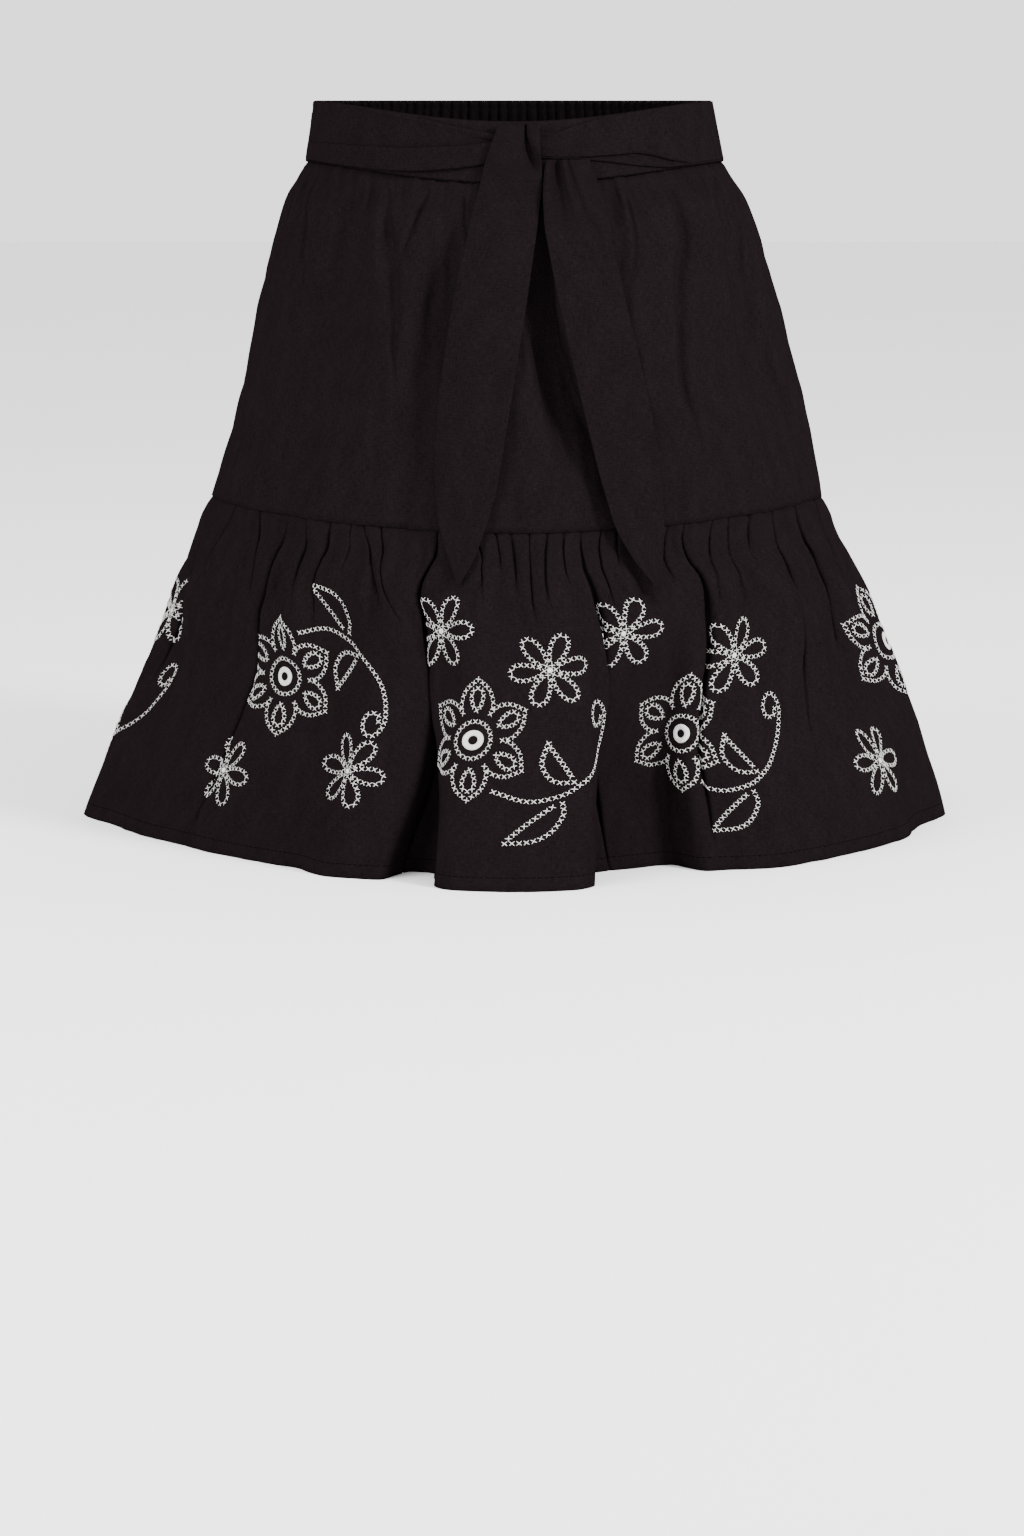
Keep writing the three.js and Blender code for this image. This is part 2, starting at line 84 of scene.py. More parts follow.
# Broad folds. at: its cloth place at the hem. lean: how much further round it lies at the seam.
# out: how far it stands out. crest: half its flat top. flank: the width of each side.
# start, peak: where it begins and is fullest, as shares of the height. end: what is left at the bottom.
Fold = namedtuple("Fold", "at lean out crest flank start peak end")
UPPER_FOLDS = [Fold(*row) for row in (
    (-150, 0, -7, 6, 50, 0, 0.4, 0),
    (-62, 0, -11, 4, 36, 0, 0.35, 0.1),
    (58, -52, -18, 8, 28, 0, 0.5, 0.15),
    (215, 0, -8, 4, 36, 0, 0.45, 0),
    (120, 0, 5, 6, 50, 0, 0.4, 0),
    (430, 0, -6, 6, 46, 0, 0.4, 0),
    (-400, 0, -6, 6, 46, 0, 0.4, 0),
)]
RUFFLE_FOLDS = [Fold(*row) for row in (
    (0, 0, 26, 32, 42, 0, 1, 1),
    (-90, 0, -31, 5, 36, 0, 0.9, 1),
    (-146, 6, 12, 14, 36, 0, 0.9, 1),
    (108, 5, -30, 26, 36, 0, 0.9, 1),
    (-300, 36, -4, 5, 34, 0, 0.45, 0.4),
    (-375, -30, -9, 4, 34, 0, 0.4, 0.3),
    (325, 10, -8, 4, 36, 0, 0.4, 0.2),
    (270, 0, 17, 50, 60, 0.1, 0.9, 1),
    (470, -10, -20, 8, 44, 0, 0.8, 1),
    (560, 10, 18, 14, 44, 0, 0.9, 1),
    (660, 0, -24, 10, 42, 0, 0.8, 1),
    (752, 0, 18, 18, 40, 0, 0.9, 1),
    (-812, 0, -22, 12, 40, 0, 0.8, 1),
    (-715, 0, 20, 16, 44, 0, 0.9, 1),
    (-615, 0, -24, 10, 42, 0, 0.8, 1),
    (-510, 0, 14, 12, 44, 0, 0.9, 1),
)]
TOP_FLANK = 0.45

# Narrow valleys where the cloth tucks in and comes straight out again. at and lean: as for folds.
# cloth: half the cloth that goes into one at its deepest. turn: how steeply it goes in, in radians.
# Those of the ruffle all start above its seam and are equally steep.
Pinch = namedtuple("Pinch", "at lean cloth peak end start turn", defaults=(-0.12, 1.7))
RUFFLE_PINCHES = [Pinch(*row) for row in (
    (-406, 2, 8, 0.16, 0.72),
    (-417, 71, 4, 0.08, 0.3),
    (-246, -52, 5, 0.1, 0.34),
    (-291, 31, 10, 0.32, 1.2),
    (-201, -30, 4.5, 0.1, 0.33),
    (-204, 2, 5.5, 0.12, 0.4),
    (-168, -10, 3.5, 0.06, 0.2),
    (-34, -128, 5.5, 0.1, 0.3),
    (-51, -92, 5.5, 0.12, 0.36),
    (-105, 20, 18, 0.35, 1.3),
    (75, -144, 4, 0.06, 0.2),
    (48, -93, 4.5, 0.08, 0.28),
    (23, -46, 3.5, 0.05, 0.16),
    (16, -22, 4, 0.07, 0.24),
    (12, 0, 5, 0.09, 0.36),
    (12, 19, 4.5, 0.08, 0.33),
    (42, 7, 4, 0.06, 0.22),
    (92, -25, 13, 0.32, 1.25),
    (91, -1, 5, 0.09, 0.3),
    (94, 16, 3.5, 0.05, 0.2),
    (92, 44, 4, 0.06, 0.22),
    (71, 91, 4, 0.07, 0.24),
    (174, 7, 15, 0.32, 1.1),
    (121, 96, 5, 0.1, 0.34),
    (160, 82, 4.5, 0.08, 0.32),
    (178, 92, 4, 0.06, 0.2),
    (246, 57, 9, 0.2, 0.85),
    (330, 19, 8, 0.16, 0.55),
    (291, 113, 4.5, 0.08, 0.34),
)]
UPPER_PINCHES = [Pinch(*row) for row in (
    (-154, -58, 6, 0.14, 0.5, -0.02, 1),
    (-72, -46, 14, 0.2, 0.75, -0.02, 0.8),
    (-163, 88, 5.5, 0.1, 0.36, -0.02, 1.2),
    (13, -61, 4, 0.08, 0.3, -0.02, 1),
    (101, -3, 5, 0.12, 0.4, -0.02, 1),
    (127, 21, 13, 0.25, 1, -0.02, 0.8),
    (179, 65, 5.5, 0.14, 0.45, -0.02, 1),
)]

# patchy: how much the gathers' length changes from place to place
Gather = namedtuple("Gather", "count phase wobble start full fade gone left patchy")
UPPER_GATHERS = [Gather(*row) for row in (
    (52, 0.7, 1, -1, 0, 0, 0.2, 0, 0),
    (26, 1.9, 1.3, 0.02, 0.15, 0.3, 1, 0, 0),
    (14, 0.5, 1.2, 0.2, 0.5, 0.6, 1, 0.3, 0),
    (140, 2.3, 1.6, -1, -0.5, 0.01, 0.12, 0, 0.6),
)]
RUFFLE_GATHERS = [Gather(*row) for row in (
    (84, 0.3, 0.9, -1, 0, 0.03, 0.24, 0, 0.6),
    (170, 1.7, 1.5, -1, -0.5, 0.02, 0.14, 0, 0.8),
    (21, 0.5, 0.9, 0.15, 0.4, 0.9, 1, 1, 0),
)]


def mirrored_behind(pinches, cut):
    """The front's valleys, and their mirror images on the other side of each side seam."""
    return pinches + [p._replace(at=cut[1] / 2 - p.at, lean=-p.lean) for p in pinches]


# back_fuller: the share by which gathers are deeper behind and shallower in front.
# pressed: the share of their depth that is left at the seam. pressed_to: where they have all of it.
Tier = namedtuple("Tier", "top bottom cut_top cut_bottom back_fuller pressed pressed_to "
                          "folds gathers pinches")
UPPER = Tier(BAND_HEIGHT + SEAM_GAP, TIER_SEAM_DROP, *UPPER_CUT, 0.3, 0.3, 0.06,
             UPPER_FOLDS, UPPER_GATHERS, mirrored_behind(UPPER_PINCHES, UPPER_CUT))
RUFFLE = Tier(TIER_SEAM_DROP + SEAM_GAP, HEM_DROP, *RUFFLE_CUT, 0, 0.2, 0.07,
              RUFFLE_FOLDS, RUFFLE_GATHERS, mirrored_behind(RUFFLE_PINCHES, RUFFLE_CUT))

OUTLINE_STEPS = 720
NORMAL_SPREAD = 15
CLOTH_STEPS = 1700
DRIFT_SPAN = 60
MOST_SWING = 2.2
STEEPEST = 0.97
LEAST_PINCH = 0.2
# The share of the ruffle's height down which it still follows the upper's folds
CARRY_SHARE = 0.16

# The waistband, with an elasticated back
BACK_RIBS = 60
RIB_DEPTH = 2.6
RIB_WOBBLE = 0.25
POINTS_A_RIB = 9
RIB_CHANNELS = (6, 32.5)
FRONT_POINTS = 200
# Angles round in degrees: half of the front, then where the back starts and how far it goes
FRONT_REACH = 89.9
BACK_START = 90.1
BACK_SPAN = 179.8

Wrap = namedtuple("Wrap", "angle top edge foot")
LEFT_SASH = [Wrap(*row) for row in (
    (-88.5, 0.6, 26.5, 37.4),
    (-62, 0.4, 25, 37.6),
    (-50, 0.4, 24, 37.6),
    (-38, 0.6, 22.5, 37),
    (-31, 1.2, 21.3, 35.6),
    (-25, 2.2, 19.5, 34.2),
    (-14, 5.4, 16.2, 30),
    (-6, 8, 13.2, 26),
    (0.4, 9, 12, 24),
)]
RIGHT_SASH = [Wrap(*row) for row in (
    (0.7, 6.5, 20, 21.5),
    (6, 6.3, 21.6, 22),
    (9, 7.6, 22.4, 23),
    (12, 8, 23.2, 24),
    (15, 6.2, 23.8, 24.6),
    (17.5, 4.6, 24.2, 25.5),
    (24.5, 1.6, 24.4, 28),
    (35, 0.4, 25.2, 33.4),
    (41, 0.3, 28.6, 35.8),
    (46, 0.4, 32.2, 37.4),
    (55, 0.4, 36.6, 37.5),
    (88.5, 0.6, 37, 37.4),
)]

# The sash's hanging ends. out: how far the middle of the cloth stands out from the body outline.
End = namedtuple("End", "drop middle half out")
LEFT_END = [End(*row) for row in (
    (15, 3.6, 12.4, 5.5),
    (19, 3, 13.3, 6.6),
    (26, 1.6, 14.8, 7.2),
    (33, 0.6, 16.2, 6.8),
    (40, 0, 17.8, 6),
    (51, -1.2, 19, 4.3),
    (64, -3.7, 20, 4.4),
    (78, -6.3, 20.9, 4.9),
    (108, -11.9, 22.2, 5.1),
    (145, -18, 22.7, 3.9),
    (182, -23.6, 22.3, 3.1),
    (209, -26.6, 21.1, 3.7),
    (236, -29, 18.6, 4),
    (256.5, -30.8, 14.4, 4.5),
    (275.6, -31.6, 7.9, 5.9),
    (290.2, -33.4, 0.7, 6),
)]
RIGHT_END = [End(*row) for row in (
    (36, 33.4, 13.1, 3),
    (47, 35, 16.1, 4.4),
    (58, 36.7, 18.3, 5.8),
    (78, 39.6, 20.2, 5.9),
    (118.6, 47.8, 20.4, 5.7),
    (155, 56.6, 20.7, 6.2),
    (192, 65, 20.5, 5.8),
    (226, 72, 19, 5.2),
    (254, 77.2, 15.8, 5.7),
    (262, 78.8, 14.2, 6.8),
    (279, 83.5, 8.2, 7.5),
    (293.7, 88.9, 0.8, 6.6),
)]


def smooth(x):
    t = np.clip(x, 0, 1)
    return t * t * (3 - 2 * t)


def between(rows, key, column, place):
    """The value of one column of a table at a place, or places, between its rows."""
    return np.interp(place, [getattr(r, key) for r in rows], [getattr(r, column) for r in rows])


def softly_between(rows, key, column, place):
    """As between, with the corners at the rows rounded off."""
    keys = np.array([getattr(r, key) for r in rows], float)
    reach = np.diff(keys).min()
    shifts = np.linspace(-0.5, 0.5, 9) * reach
    return sum(between(rows, key, column, place + s) for s in shifts) / len(shifts)


def summed(steps):
    """Running sums, starting from 0."""
    return np.concatenate([[0], np.cumsum(steps)])


def running_mean(values, spread):
    """A closed ring's running mean, over spread places to each side. The last value repeats the first."""
    ring = values[:-1]
    padded = np.concatenate([ring[-spread:], ring, ring[:spread]])
    sums = summed(padded)
    width = 2 * spread + 1
    mean = (sums[width:] - sums[:-width]) / width
    return np.append(mean, mean[0])


def drift_of(values, spread):
    return running_mean(running_mean(values, spread), spread)


def closed(heights):
    """Heights round a ring, tilted until the last one is 0."""
    return heights - heights[-1] * np.arange(CLOTH_STEPS + 1) / CLOTH_STEPS


def front_dip(drop, angle):
    return between(BODY, "drop", "dip", drop) * np.maximum(0, np.cos(angle)) ** DIP_POWER


def side_shape(cos, point):
    power = (point - 1) / 2
    return cos * (cos**2 + SIDE_ROUNDING**2) ** power / (1 + SIDE_ROUNDING**2) ** power


def body_shape(drop):
    return (between(BODY, "drop", c, drop) for c in ("width", "depth", "point", "shift"))


def body_point(drop, angle):
    width, depth, point, shift = body_shape(drop)
    return shift + width * np.sin(angle), -depth * side_shape(np.cos(angle), point)


Outline = namedtuple("Outline", "angle x y way out_x out_y length")


def outline(drop):
    """The body outline at a drop, with the way along it and its softened outward direction."""
    angle = np.linspace(-math.pi, math.pi, OUTLINE_STEPS + 1)
    x, y = body_point(drop, angle)
    way = summed(np.hypot(np.diff(x), np.diff(y)))
    ahead_x, ahead_y = np.roll(x[:-1], -1) - np.roll(x[:-1], 1), np.roll(y[:-1], -1) - np.roll(y[:-1], 1)
    length = np.hypot(ahead_x, ahead_y)
    out_x = running_mean(np.append(ahead_y / length, ahead_y[0] / length[0]), NORMAL_SPREAD)
    out_y = running_mean(np.append(-ahead_x / length, -ahead_x[0] / length[0]), NORMAL_SPREAD)
    size = np.hypot(out_x, out_y)
    return Outline(angle, x, y, way, out_x / size, out_y / size, way[-1])


def distance_from(row, tier, u, v):
    """How far cloth places lie from a fold or a valley, the shorter way round."""
    apart = u - row.at - row.lean * (1 - v)
    return apart - tier.cut_bottom * np.round(apart / tier.cut_bottom)


def fold_height(tier, u, v):
    height = np.zeros_like(u)
    for fold in tier.folds:
        rise = smooth((v - fold.start) / (fold.peak - fold.start))
        fade = 1 - (1 - fold.end) * smooth((v - fold.peak) / max(1 - fold.peak, 0.001))
        away = distance_from(fold, tier, u, v)
        flank = fold.flank * (TOP_FLANK + (1 - TOP_FLANK) * v)
        height += fold.out * rise * fade * (1 - smooth((np.abs(away) - fold.crest) / flank))
    return height


def pinch_turn(tier, u, v):
    """How far the cloth turns in and out again at its narrow valleys, in radians."""
    turn = np.zeros_like(u)
    for pinch in tier.pinches:
        grown = smooth((v - pinch.start) / (pinch.peak - pinch.start))
        left = 1 - smooth((v - pinch.peak) / (pinch.end - pinch.peak))
        half = pinch.cloth * grown * left
        if half > LEAST_PINCH:
            away = distance_from(pinch, tier, u, v) / half
            turn += np.where(np.abs(away) < 1, np.sin(math.pi * away), 0) * pinch.turn * min(1, half / 3)
    return turn


def gather_phase(tier, gather, u):
    turn = FULL_TURN * u / tier.cut_bottom
    uneven = np.sin(7 * turn + gather.phase) + 0.7 * np.sin(17 * turn + 2 * gather.phase)
    return gather.count * turn + gather.phase + gather.wobble * uneven


def gather_wave(tier, u, v):
    turn = FULL_TURN * u / tier.cut_bottom
    wave = np.zeros_like(u)
    for gather in tier.gathers:
        patch = np.sin(23 * turn + 3 * gather.phase) * np.sin(9 * turn + gather.phase)
        reach = 1 + gather.patchy * patch
        rise = smooth((v - gather.start) / (gather.full - gather.start))
        fade = 1 - (1 - gather.left) * smooth((v / reach - gather.fade) / (gather.gone - gather.fade))
        wave += rise * fade * np.sin(gather_phase(tier, gather, u))
    return wave * (1 - tier.back_fuller * np.cos(turn))


Ring = namedtuple("Ring", "u place out points")


def cloth_ring(tier, v, carried=None):
    """One ring of cloth that keeps its flat width: folds, and gathers as deep as what is left over needs.

    carried: the height, along the outline's share, of the cloth that this one is sewn to.
    """
    drop = tier.top + (tier.bottom - tier.top) * v
    step = (tier.cut_top + (tier.cut_bottom - tier.cut_top) * v) / CLOTH_STEPS
    body = outline(drop)
    u = np.linspace(-0.5, 0.5, CLOTH_STEPS + 1) * tier.cut_bottom
    fold = fold_height(tier, u, v)
    slope = np.arcsin(np.clip(np.diff(fold) / step, -STEEPEST, STEEPEST))
    middles = (u[1:] + u[:-1]) / 2
    pinches = pinch_turn(tier, middles, v)
    slope = slope + pinches
    wave = gather_wave(tier, middles, v) * (1 - smooth(np.abs(pinches)))
    swing, part = 0.0, MOST_SWING / 2
    while part > 1e-6:
        if np.cos(slope + (swing + part) * wave).sum() * step > body.length:
            swing += part
        part /= 2
    heading = slope + swing * wave
    way = summed(np.cos(heading))
    height = summed(np.sin(heading)) * step
    plain = summed(np.cos(slope))
    plain *= body.length / plain[-1]
    spread = int(DRIFT_SPAN / step / 2)
    tucked = closed(summed(np.sin(slope)) * step - fold + fold[0])
    fold += tucked - running_mean(tucked, spread)
    way_off = way * body.length / way[-1] - plain
    height_off = closed(height) - fold
    place = plain + way_off - drift_of(way_off, spread)
    press = tier.pressed + (1 - tier.pressed) * smooth(v / tier.pressed_to)
    out = fold + (height_off - drift_of(height_off, spread)) * press
    place = np.mod(place + body.length / 2 - place[CLOTH_STEPS // 2], body.length)
    if carried is not None:
        share, carried_out = carried
        out += np.interp(place / body.length, share, carried_out) * (1 - smooth(v / CARRY_SHARE))
    x, y, out_x, out_y, angle = (np.interp(place, body.way, c) for c in (
        body.x, body.y, body.out_x, body.out_y, body.angle))
    z = -drop - front_dip(drop, angle)
    return Ring(u, place / body.length, out, np.stack([x + out_x * out, y + out_y * out, z], -1))


Cloth = namedtuple("Cloth", "tier u shares points outward")


def outward_of(points):
    """The outward direction at each point of a grid with rows from the top down and columns towards +X."""
    across = np.gradient(points, axis=1)
    down = np.gradient(points, axis=0)
    out = np.cross(down, across)
    return out / np.maximum(np.linalg.norm(out, axis=-1, keepdims=True), 1e-9)


# The cloth's own soft unevenness. waves: round the skirt. per_drop: turns for each mm of drop.
Unevenness = namedtuple("Unevenness", "height waves per_drop phase")
SOFTNESS = [Unevenness(*row) for row in (
    (0.30, 37, 0.004, 0.4),
    (0.24, 59, -0.006, 2.1),
    (0.16, 93, 0.009, 4.0),
    (0.12, 71, 0.021, 1.2),
    (0.10, 131, -0.013, 5.1),
    (0.14, 23, 0.016, 3.3),
)]


def soft_height(turn, drop):
    """How far the cloth's unevenness stands out at a share of the way round and a drop."""
    height = 0
    for one in SOFTNESS:
        drift = 1.3 * np.sin(FULL_TURN * (5 * turn + drop / 150) + one.phase)
        turns = one.waves * turn + one.per_drop * drop
        height = height + one.height * np.sin(FULL_TURN * turns + one.phase + drift)
    return height


def settle(tier, shares, carried=None):
    """A whole tier of cloth, one ring for each share of its height."""
    rings = [cloth_ring(tier, v, carried) for v in shares]
    points = np.stack([r.points for r in rings])
    u = rings[0].u
    drops = tier.top + (tier.bottom - tier.top) * shares[:, None]
    points += outward_of(points) * soft_height(u[None] / tier.cut_bottom, drops)[..., None]
    points[:, -1] = points[:, 0]
    return Cloth(tier, u, shares, points, outward_of(points)), rings


def rows_from(seam_step, seam_reach, step, height):
    """Shares of a tier's height with closer rows next to the seam above."""
    near = np.arange(0, seam_reach, seam_step)
    far = np.linspace(seam_reach, height, 1 + round((height - seam_reach) / step))
    return np.concatenate([near, far]) / height


def on_cloth(cloth, u, v, raised):
    """Points on the cloth at its own places and shares of the height, raised outwards from its middle."""
    cut = cloth.tier.cut_bottom
    column = np.mod(u + cut / 2, cut) / cut * CLOTH_STEPS
    row = np.clip(np.interp(v, cloth.shares, np.arange(len(cloth.shares))), 0, len(cloth.shares) - 1.001)
    c, r = column.astype(int), row.astype(int)
    across, down = (column - c)[..., None], (row - r)[..., None]

    def mixed(grid):
        top = grid[r, c] * (1 - across) + grid[r, c + 1] * across
        low = grid[r + 1, c] * (1 - across) + grid[r + 1, c + 1] * across
        return top * (1 - down) + low * down

    out = mixed(cloth.outward)
    out /= np.linalg.norm(out, axis=-1, keepdims=True)
    return mixed(cloth.points) + out * np.asarray(raised)[..., None]


def deselect():
    bpy.ops.object.select_all(action="DESELECT")


def make_active(obj):
    deselect()
    obj.select_set(True)
    bpy.context.view_layer.objects.active = obj


def apply_all(obj):
    make_active(obj)
    for modifier in list(obj.modifiers):
        bpy.ops.object.modifier_apply(modifier=modifier.name)


def mesh_object(name, points, faces, uv, material):
    """An object from points in mm, lists of each face's points, and a UV for each point."""
    mesh = bpy.data.meshes.new(name)
    mesh.from_pydata((points * MM).tolist(), [], faces)
    corners = np.zeros(len(mesh.loops), int)
    mesh.loops.foreach_get("vertex_index", corners)
    mesh.uv_layers.new(name="cloth").data.foreach_set("uv", uv[corners].ravel())
    mesh.polygons.foreach_set("use_smooth", np.ones(len(faces), bool))
    mesh.materials.append(material)
    obj = bpy.data.objects.new(name, mesh)
    bpy.context.scene.collection.objects.link(obj)
    return obj


def grid_faces(rows, columns):
    """Faces that look outwards on a grid with rows from the top down and columns towards +X."""
    index = np.arange(rows * columns).reshape(rows, columns)
    corners = [index[:-1, :-1], index[1:, :-1], index[1:, 1:], index[:-1, 1:]]
    return np.stack(corners, -1).reshape(-1, 4)


UV_SIZE = 100.0


def cloth_piece(name, points, width, length, wall, material, rounded=0.0):
    """A sheet of cloth from a grid of points in its middle, with the thickness wall."""
    rows, columns = points.shape[:2]
    across, down = np.meshgrid(np.linspace(0, width, columns), np.linspace(0, length, rows))
    uv = np.stack([across, -down], -1).reshape(-1, 2) / UV_SIZE
    obj = mesh_object(name, points.reshape(-1, 3), grid_faces(rows, columns).tolist(), uv, material)
    thick = obj.modifiers.new("wall", "SOLIDIFY")
    thick.thickness = wall * MM
    thick.offset = 0
    if rounded:
        edge = obj.modifiers.new("edge", "BEVEL")
        edge.width = rounded * MM
        edge.segments = 2
        edge.limit_method = "ANGLE"
        edge.angle_limit = math.radians(60)
    apply_all(obj)
    return obj


# Shader expressions
class Output:
    """A node's output, on which sums are written as in Python."""

    def __init__(self, finish, socket):
        self.finish = finish
        self.socket = socket

    def sum_with(self, operation, *values):
        return self.finish.node("ShaderNodeMath", {"operation": operation}, dict(enumerate(values)))

    def __add__(self, other):
        return self.sum_with("ADD", self, other)

    __radd__ = __add__

    def __sub__(self, other):
        return self.sum_with("SUBTRACT", self, other)

    def __mul__(self, other):
        return self.sum_with("MULTIPLY", self, other)

    def sine(self):
        return self.sum_with("SINE", self)

    def size(self):
        return self.sum_with("ABSOLUTE", self)


class Finish:
    """One material and its nodes."""

    def __init__(self, name, **constants):
        self.material = bpy.data.materials.new(name)
        self.material.use_nodes = True
        self.tree = self.material.node_tree
        self.shader = next(n for n in self.tree.nodes if n.type == "BSDF_PRINCIPLED")
        for socket, value in constants.items():
            self.shader.inputs[socket.replace("_", " ")].default_value = value

    def fill(self, socket, value):
        if isinstance(value, Output):
            self.tree.links.new(value.socket, socket)
        else:
            socket.default_value = value

    def node(self, kind, settings=None, inputs=None, output=0):
        made = self.tree.nodes.new(kind)
        for name, value in (settings or {}).items():
            setattr(made, name, value)
        for key, value in (inputs or {}).items():
            self.fill(made.inputs[key], value)
        return Output(self, made.outputs[output])

    def noise(self, place, scale, detail):
        return self.node("ShaderNodeTexNoise", {}, {"Vector": place, "Scale": scale, "Detail": detail})

    def mix(self, share, first, second):
        settings = {"data_type": "RGBA"}
        return self.node("ShaderNodeMix", settings, {"Factor": share, 6: first, 7: second}, 2)

    def stretched(self, place, sizes):
        return self.node("ShaderNodeMapping", {}, {"Vector": place, "Scale": sizes})

    def cloth_place(self):
        return self.node("ShaderNodeUVMap", {"uv_map": "cloth"})

    def parts(self, vector):
        split = self.node("ShaderNodeSeparateXYZ", {}, {"Vector": vector})
        sockets = split.socket.node.outputs
        return Output(self, sockets[0]), Output(self, sockets[1])

    def surface(self, colour, roughness=None, bump=None, bump_depth=None):
        self.fill(self.shader.inputs["Base Color"], colour)
        if roughness is not None:
            self.fill(self.shader.inputs["Roughness"], roughness)
        if bump is not None:
            inputs = {"Height": bump, "Distance": bump_depth * MM, "Strength": 1.0}
            self.fill(self.shader.inputs["Normal"], self.node("ShaderNodeBump", {}, inputs))
        return self.material


WEAVE_PITCH = 0.62
WEAVE_DEPTH = 0.12


def woven(name, light, dark):
    """Plain-woven cotton: threads over and under, thick places along them, and a slightly uneven dye."""
    finish = Finish(name, Specular_IOR_Level=0.0)
    place = finish.cloth_place()
    across, down = finish.parts(place)
    threads = UV_SIZE / WEAVE_PITCH * math.pi
    weave = (across * threads).sine() * (down * threads).sine()
    slubs = finish.noise(finish.stretched(place, (28, 150, 1)), 1.0, 2.0)
    warp = finish.noise(finish.stretched(place, (150, 28, 1)), 1.0, 2.0)
    dye = finish.noise(finish.stretched(place, (9, 5, 1)), 1.0, 3.0)
    share = dye * 0.4 + slubs * 0.9 + warp * 0.9 - 0.6
    relief = weave.size() * 0.45 + slubs * 0.7 + warp * 0.7
    return finish.surface(finish.mix(share, dark, light), 0.78 + dye * 0.14, relief, WEAVE_DEPTH)


def twisted_thread():
    """White embroidery thread: fine strands along each bar."""
    finish = Finish("white_thread", Specular_IOR_Level=0.3)
    place = finish.cloth_place()
    across, along = finish.parts(place)
    strands = (across * 38 + along * 26).sine()
    shade = finish.noise(finish.stretched(place, (9, 3, 1)), 1.0, 2.0)
    colour = finish.mix(shade, (0.62, 0.60, 0.58, 1), (0.84, 0.83, 0.81, 1))
    return finish.surface(colour, 0.5 + shade * 0.2, strands, 0.06)


cotton = woven("dark_cotton", (0.0080, 0.0056, 0.0066, 1), (0.0024, 0.0017, 0.0020, 1))
elastic = woven("elastic_cotton", (0.0056, 0.0040, 0.0047, 1), (0.0020, 0.0015, 0.0017, 1))
tie_cotton = woven("tie_cotton", (0.0076, 0.0053, 0.0063, 1), (0.0023, 0.0016, 0.0019, 1))
thread = twisted_thread()
dark_thread = Finish("dark_thread", Roughness=0.8, Specular_IOR_Level=0.0).surface(
    (0.0022, 0.0016, 0.0019, 1))


# Tiers
RUFFLE_SHARES = rows_from(seam_step=1.6, seam_reach=20, step=3.6, height=RUFFLE.bottom - RUFFLE.top)
UPPER_SHARES = rows_from(seam_step=1.6, seam_reach=20, step=4.2, height=UPPER.bottom - UPPER.top)
upper, upper_rings = settle(UPPER, UPPER_SHARES)
lowest = upper_rings[-1]
order = np.argsort(lowest.place)
ruffle, ruffle_rings = settle(RUFFLE, RUFFLE_SHARES, (lowest.place[order], lowest.out[order]))


# Waistband
def band_points(below, angle, out):
    """Points of the waistband: drops below its top edge, angles round in degrees, distances out."""
    turn = np.radians(angle)
    x, y = body_point(below, turn)
    ahead_x, ahead_y = body_point(below, turn + 1e-3)
    step = np.hypot(ahead_x - x, ahead_y - y)
    x, y = x + (ahead_y - y) / step * out, y - (ahead_x - x) / step * out
    return np.stack([x, y, -below - front_dip(below, turn)], -1)


def bend(points, count):
    """A smooth curve through points, as count points evenly along it."""
    points = np.asarray(points, float)
    ends = [2 * points[0] - points[1], *points, 2 * points[-1] - points[-2]]
    t = np.linspace(0, 1, 9)[:-1, None]
    curve = []
    for a, b, c, d in zip(ends, ends[1:], ends[2:], ends[3:]):
        square, cube = 2 * a - 5 * b + 4 * c - d, 3 * (b - c) + d - a
        curve.append(0.5 * (2 * b + (c - a) * t + square * t**2 + cube * t**3))
    curve = np.concatenate(curve + [points[-1:]])
    way = summed(np.linalg.norm(np.diff(curve, axis=0), axis=1))
    even = np.linspace(0, way[-1], count)
    return np.stack([np.interp(even, way, c) for c in curve.T], -1)


def path_length(points):
    return np.linalg.norm(np.diff(points, axis=0), axis=1).sum()


BAND_WALL = 0.7
BAND_ROWS = 56
band_foot = BAND_HEIGHT
band_path = bend([
    (band_foot - 8, -0.1), (band_foot - 1.2, -0.1), (band_foot - 0.4, -0.3), (band_foot - 0.9, -0.62),
    (band_foot - 4, -0.65), (20, -0.65), (4, -0.65), (1.1, -0.6), (0.4, -0.2), (0.35, 0.2), (1.1, 0.6),
    (4, 0.65), (20, 0.65), (band_foot - 4, 0.65), (band_foot - 0.9, 0.62), (band_foot - 0.2, 0.4),
    (band_foot - 0.4, 0.2), (band_foot - 8, 0.22)], BAND_ROWS)


def band_piece(name, angles, ribs, material):
    """A folded band: up the inside, over the top edge, and down the outside."""
    grid = []
    for below, out in band_path:
        grid.append(band_points(below, angles, out + ribs(below, angles)))
    points = np.stack(grid)
    width = path_length(points[0])
    return cloth_piece(name, points, width, path_length(band_path), BAND_WALL * 0.8, material), width


def front_ribs(below, angles):
    turn = angles / 360
    drawn = 1 - smooth((BAND_HEIGHT - below) / 7)
    ripples = np.sin(angles * 3.1 + 1.5 * np.sin(angles * 0.6))
    return 0.2 * soft_height(turn, below * 3) + 0.28 * drawn * ripples


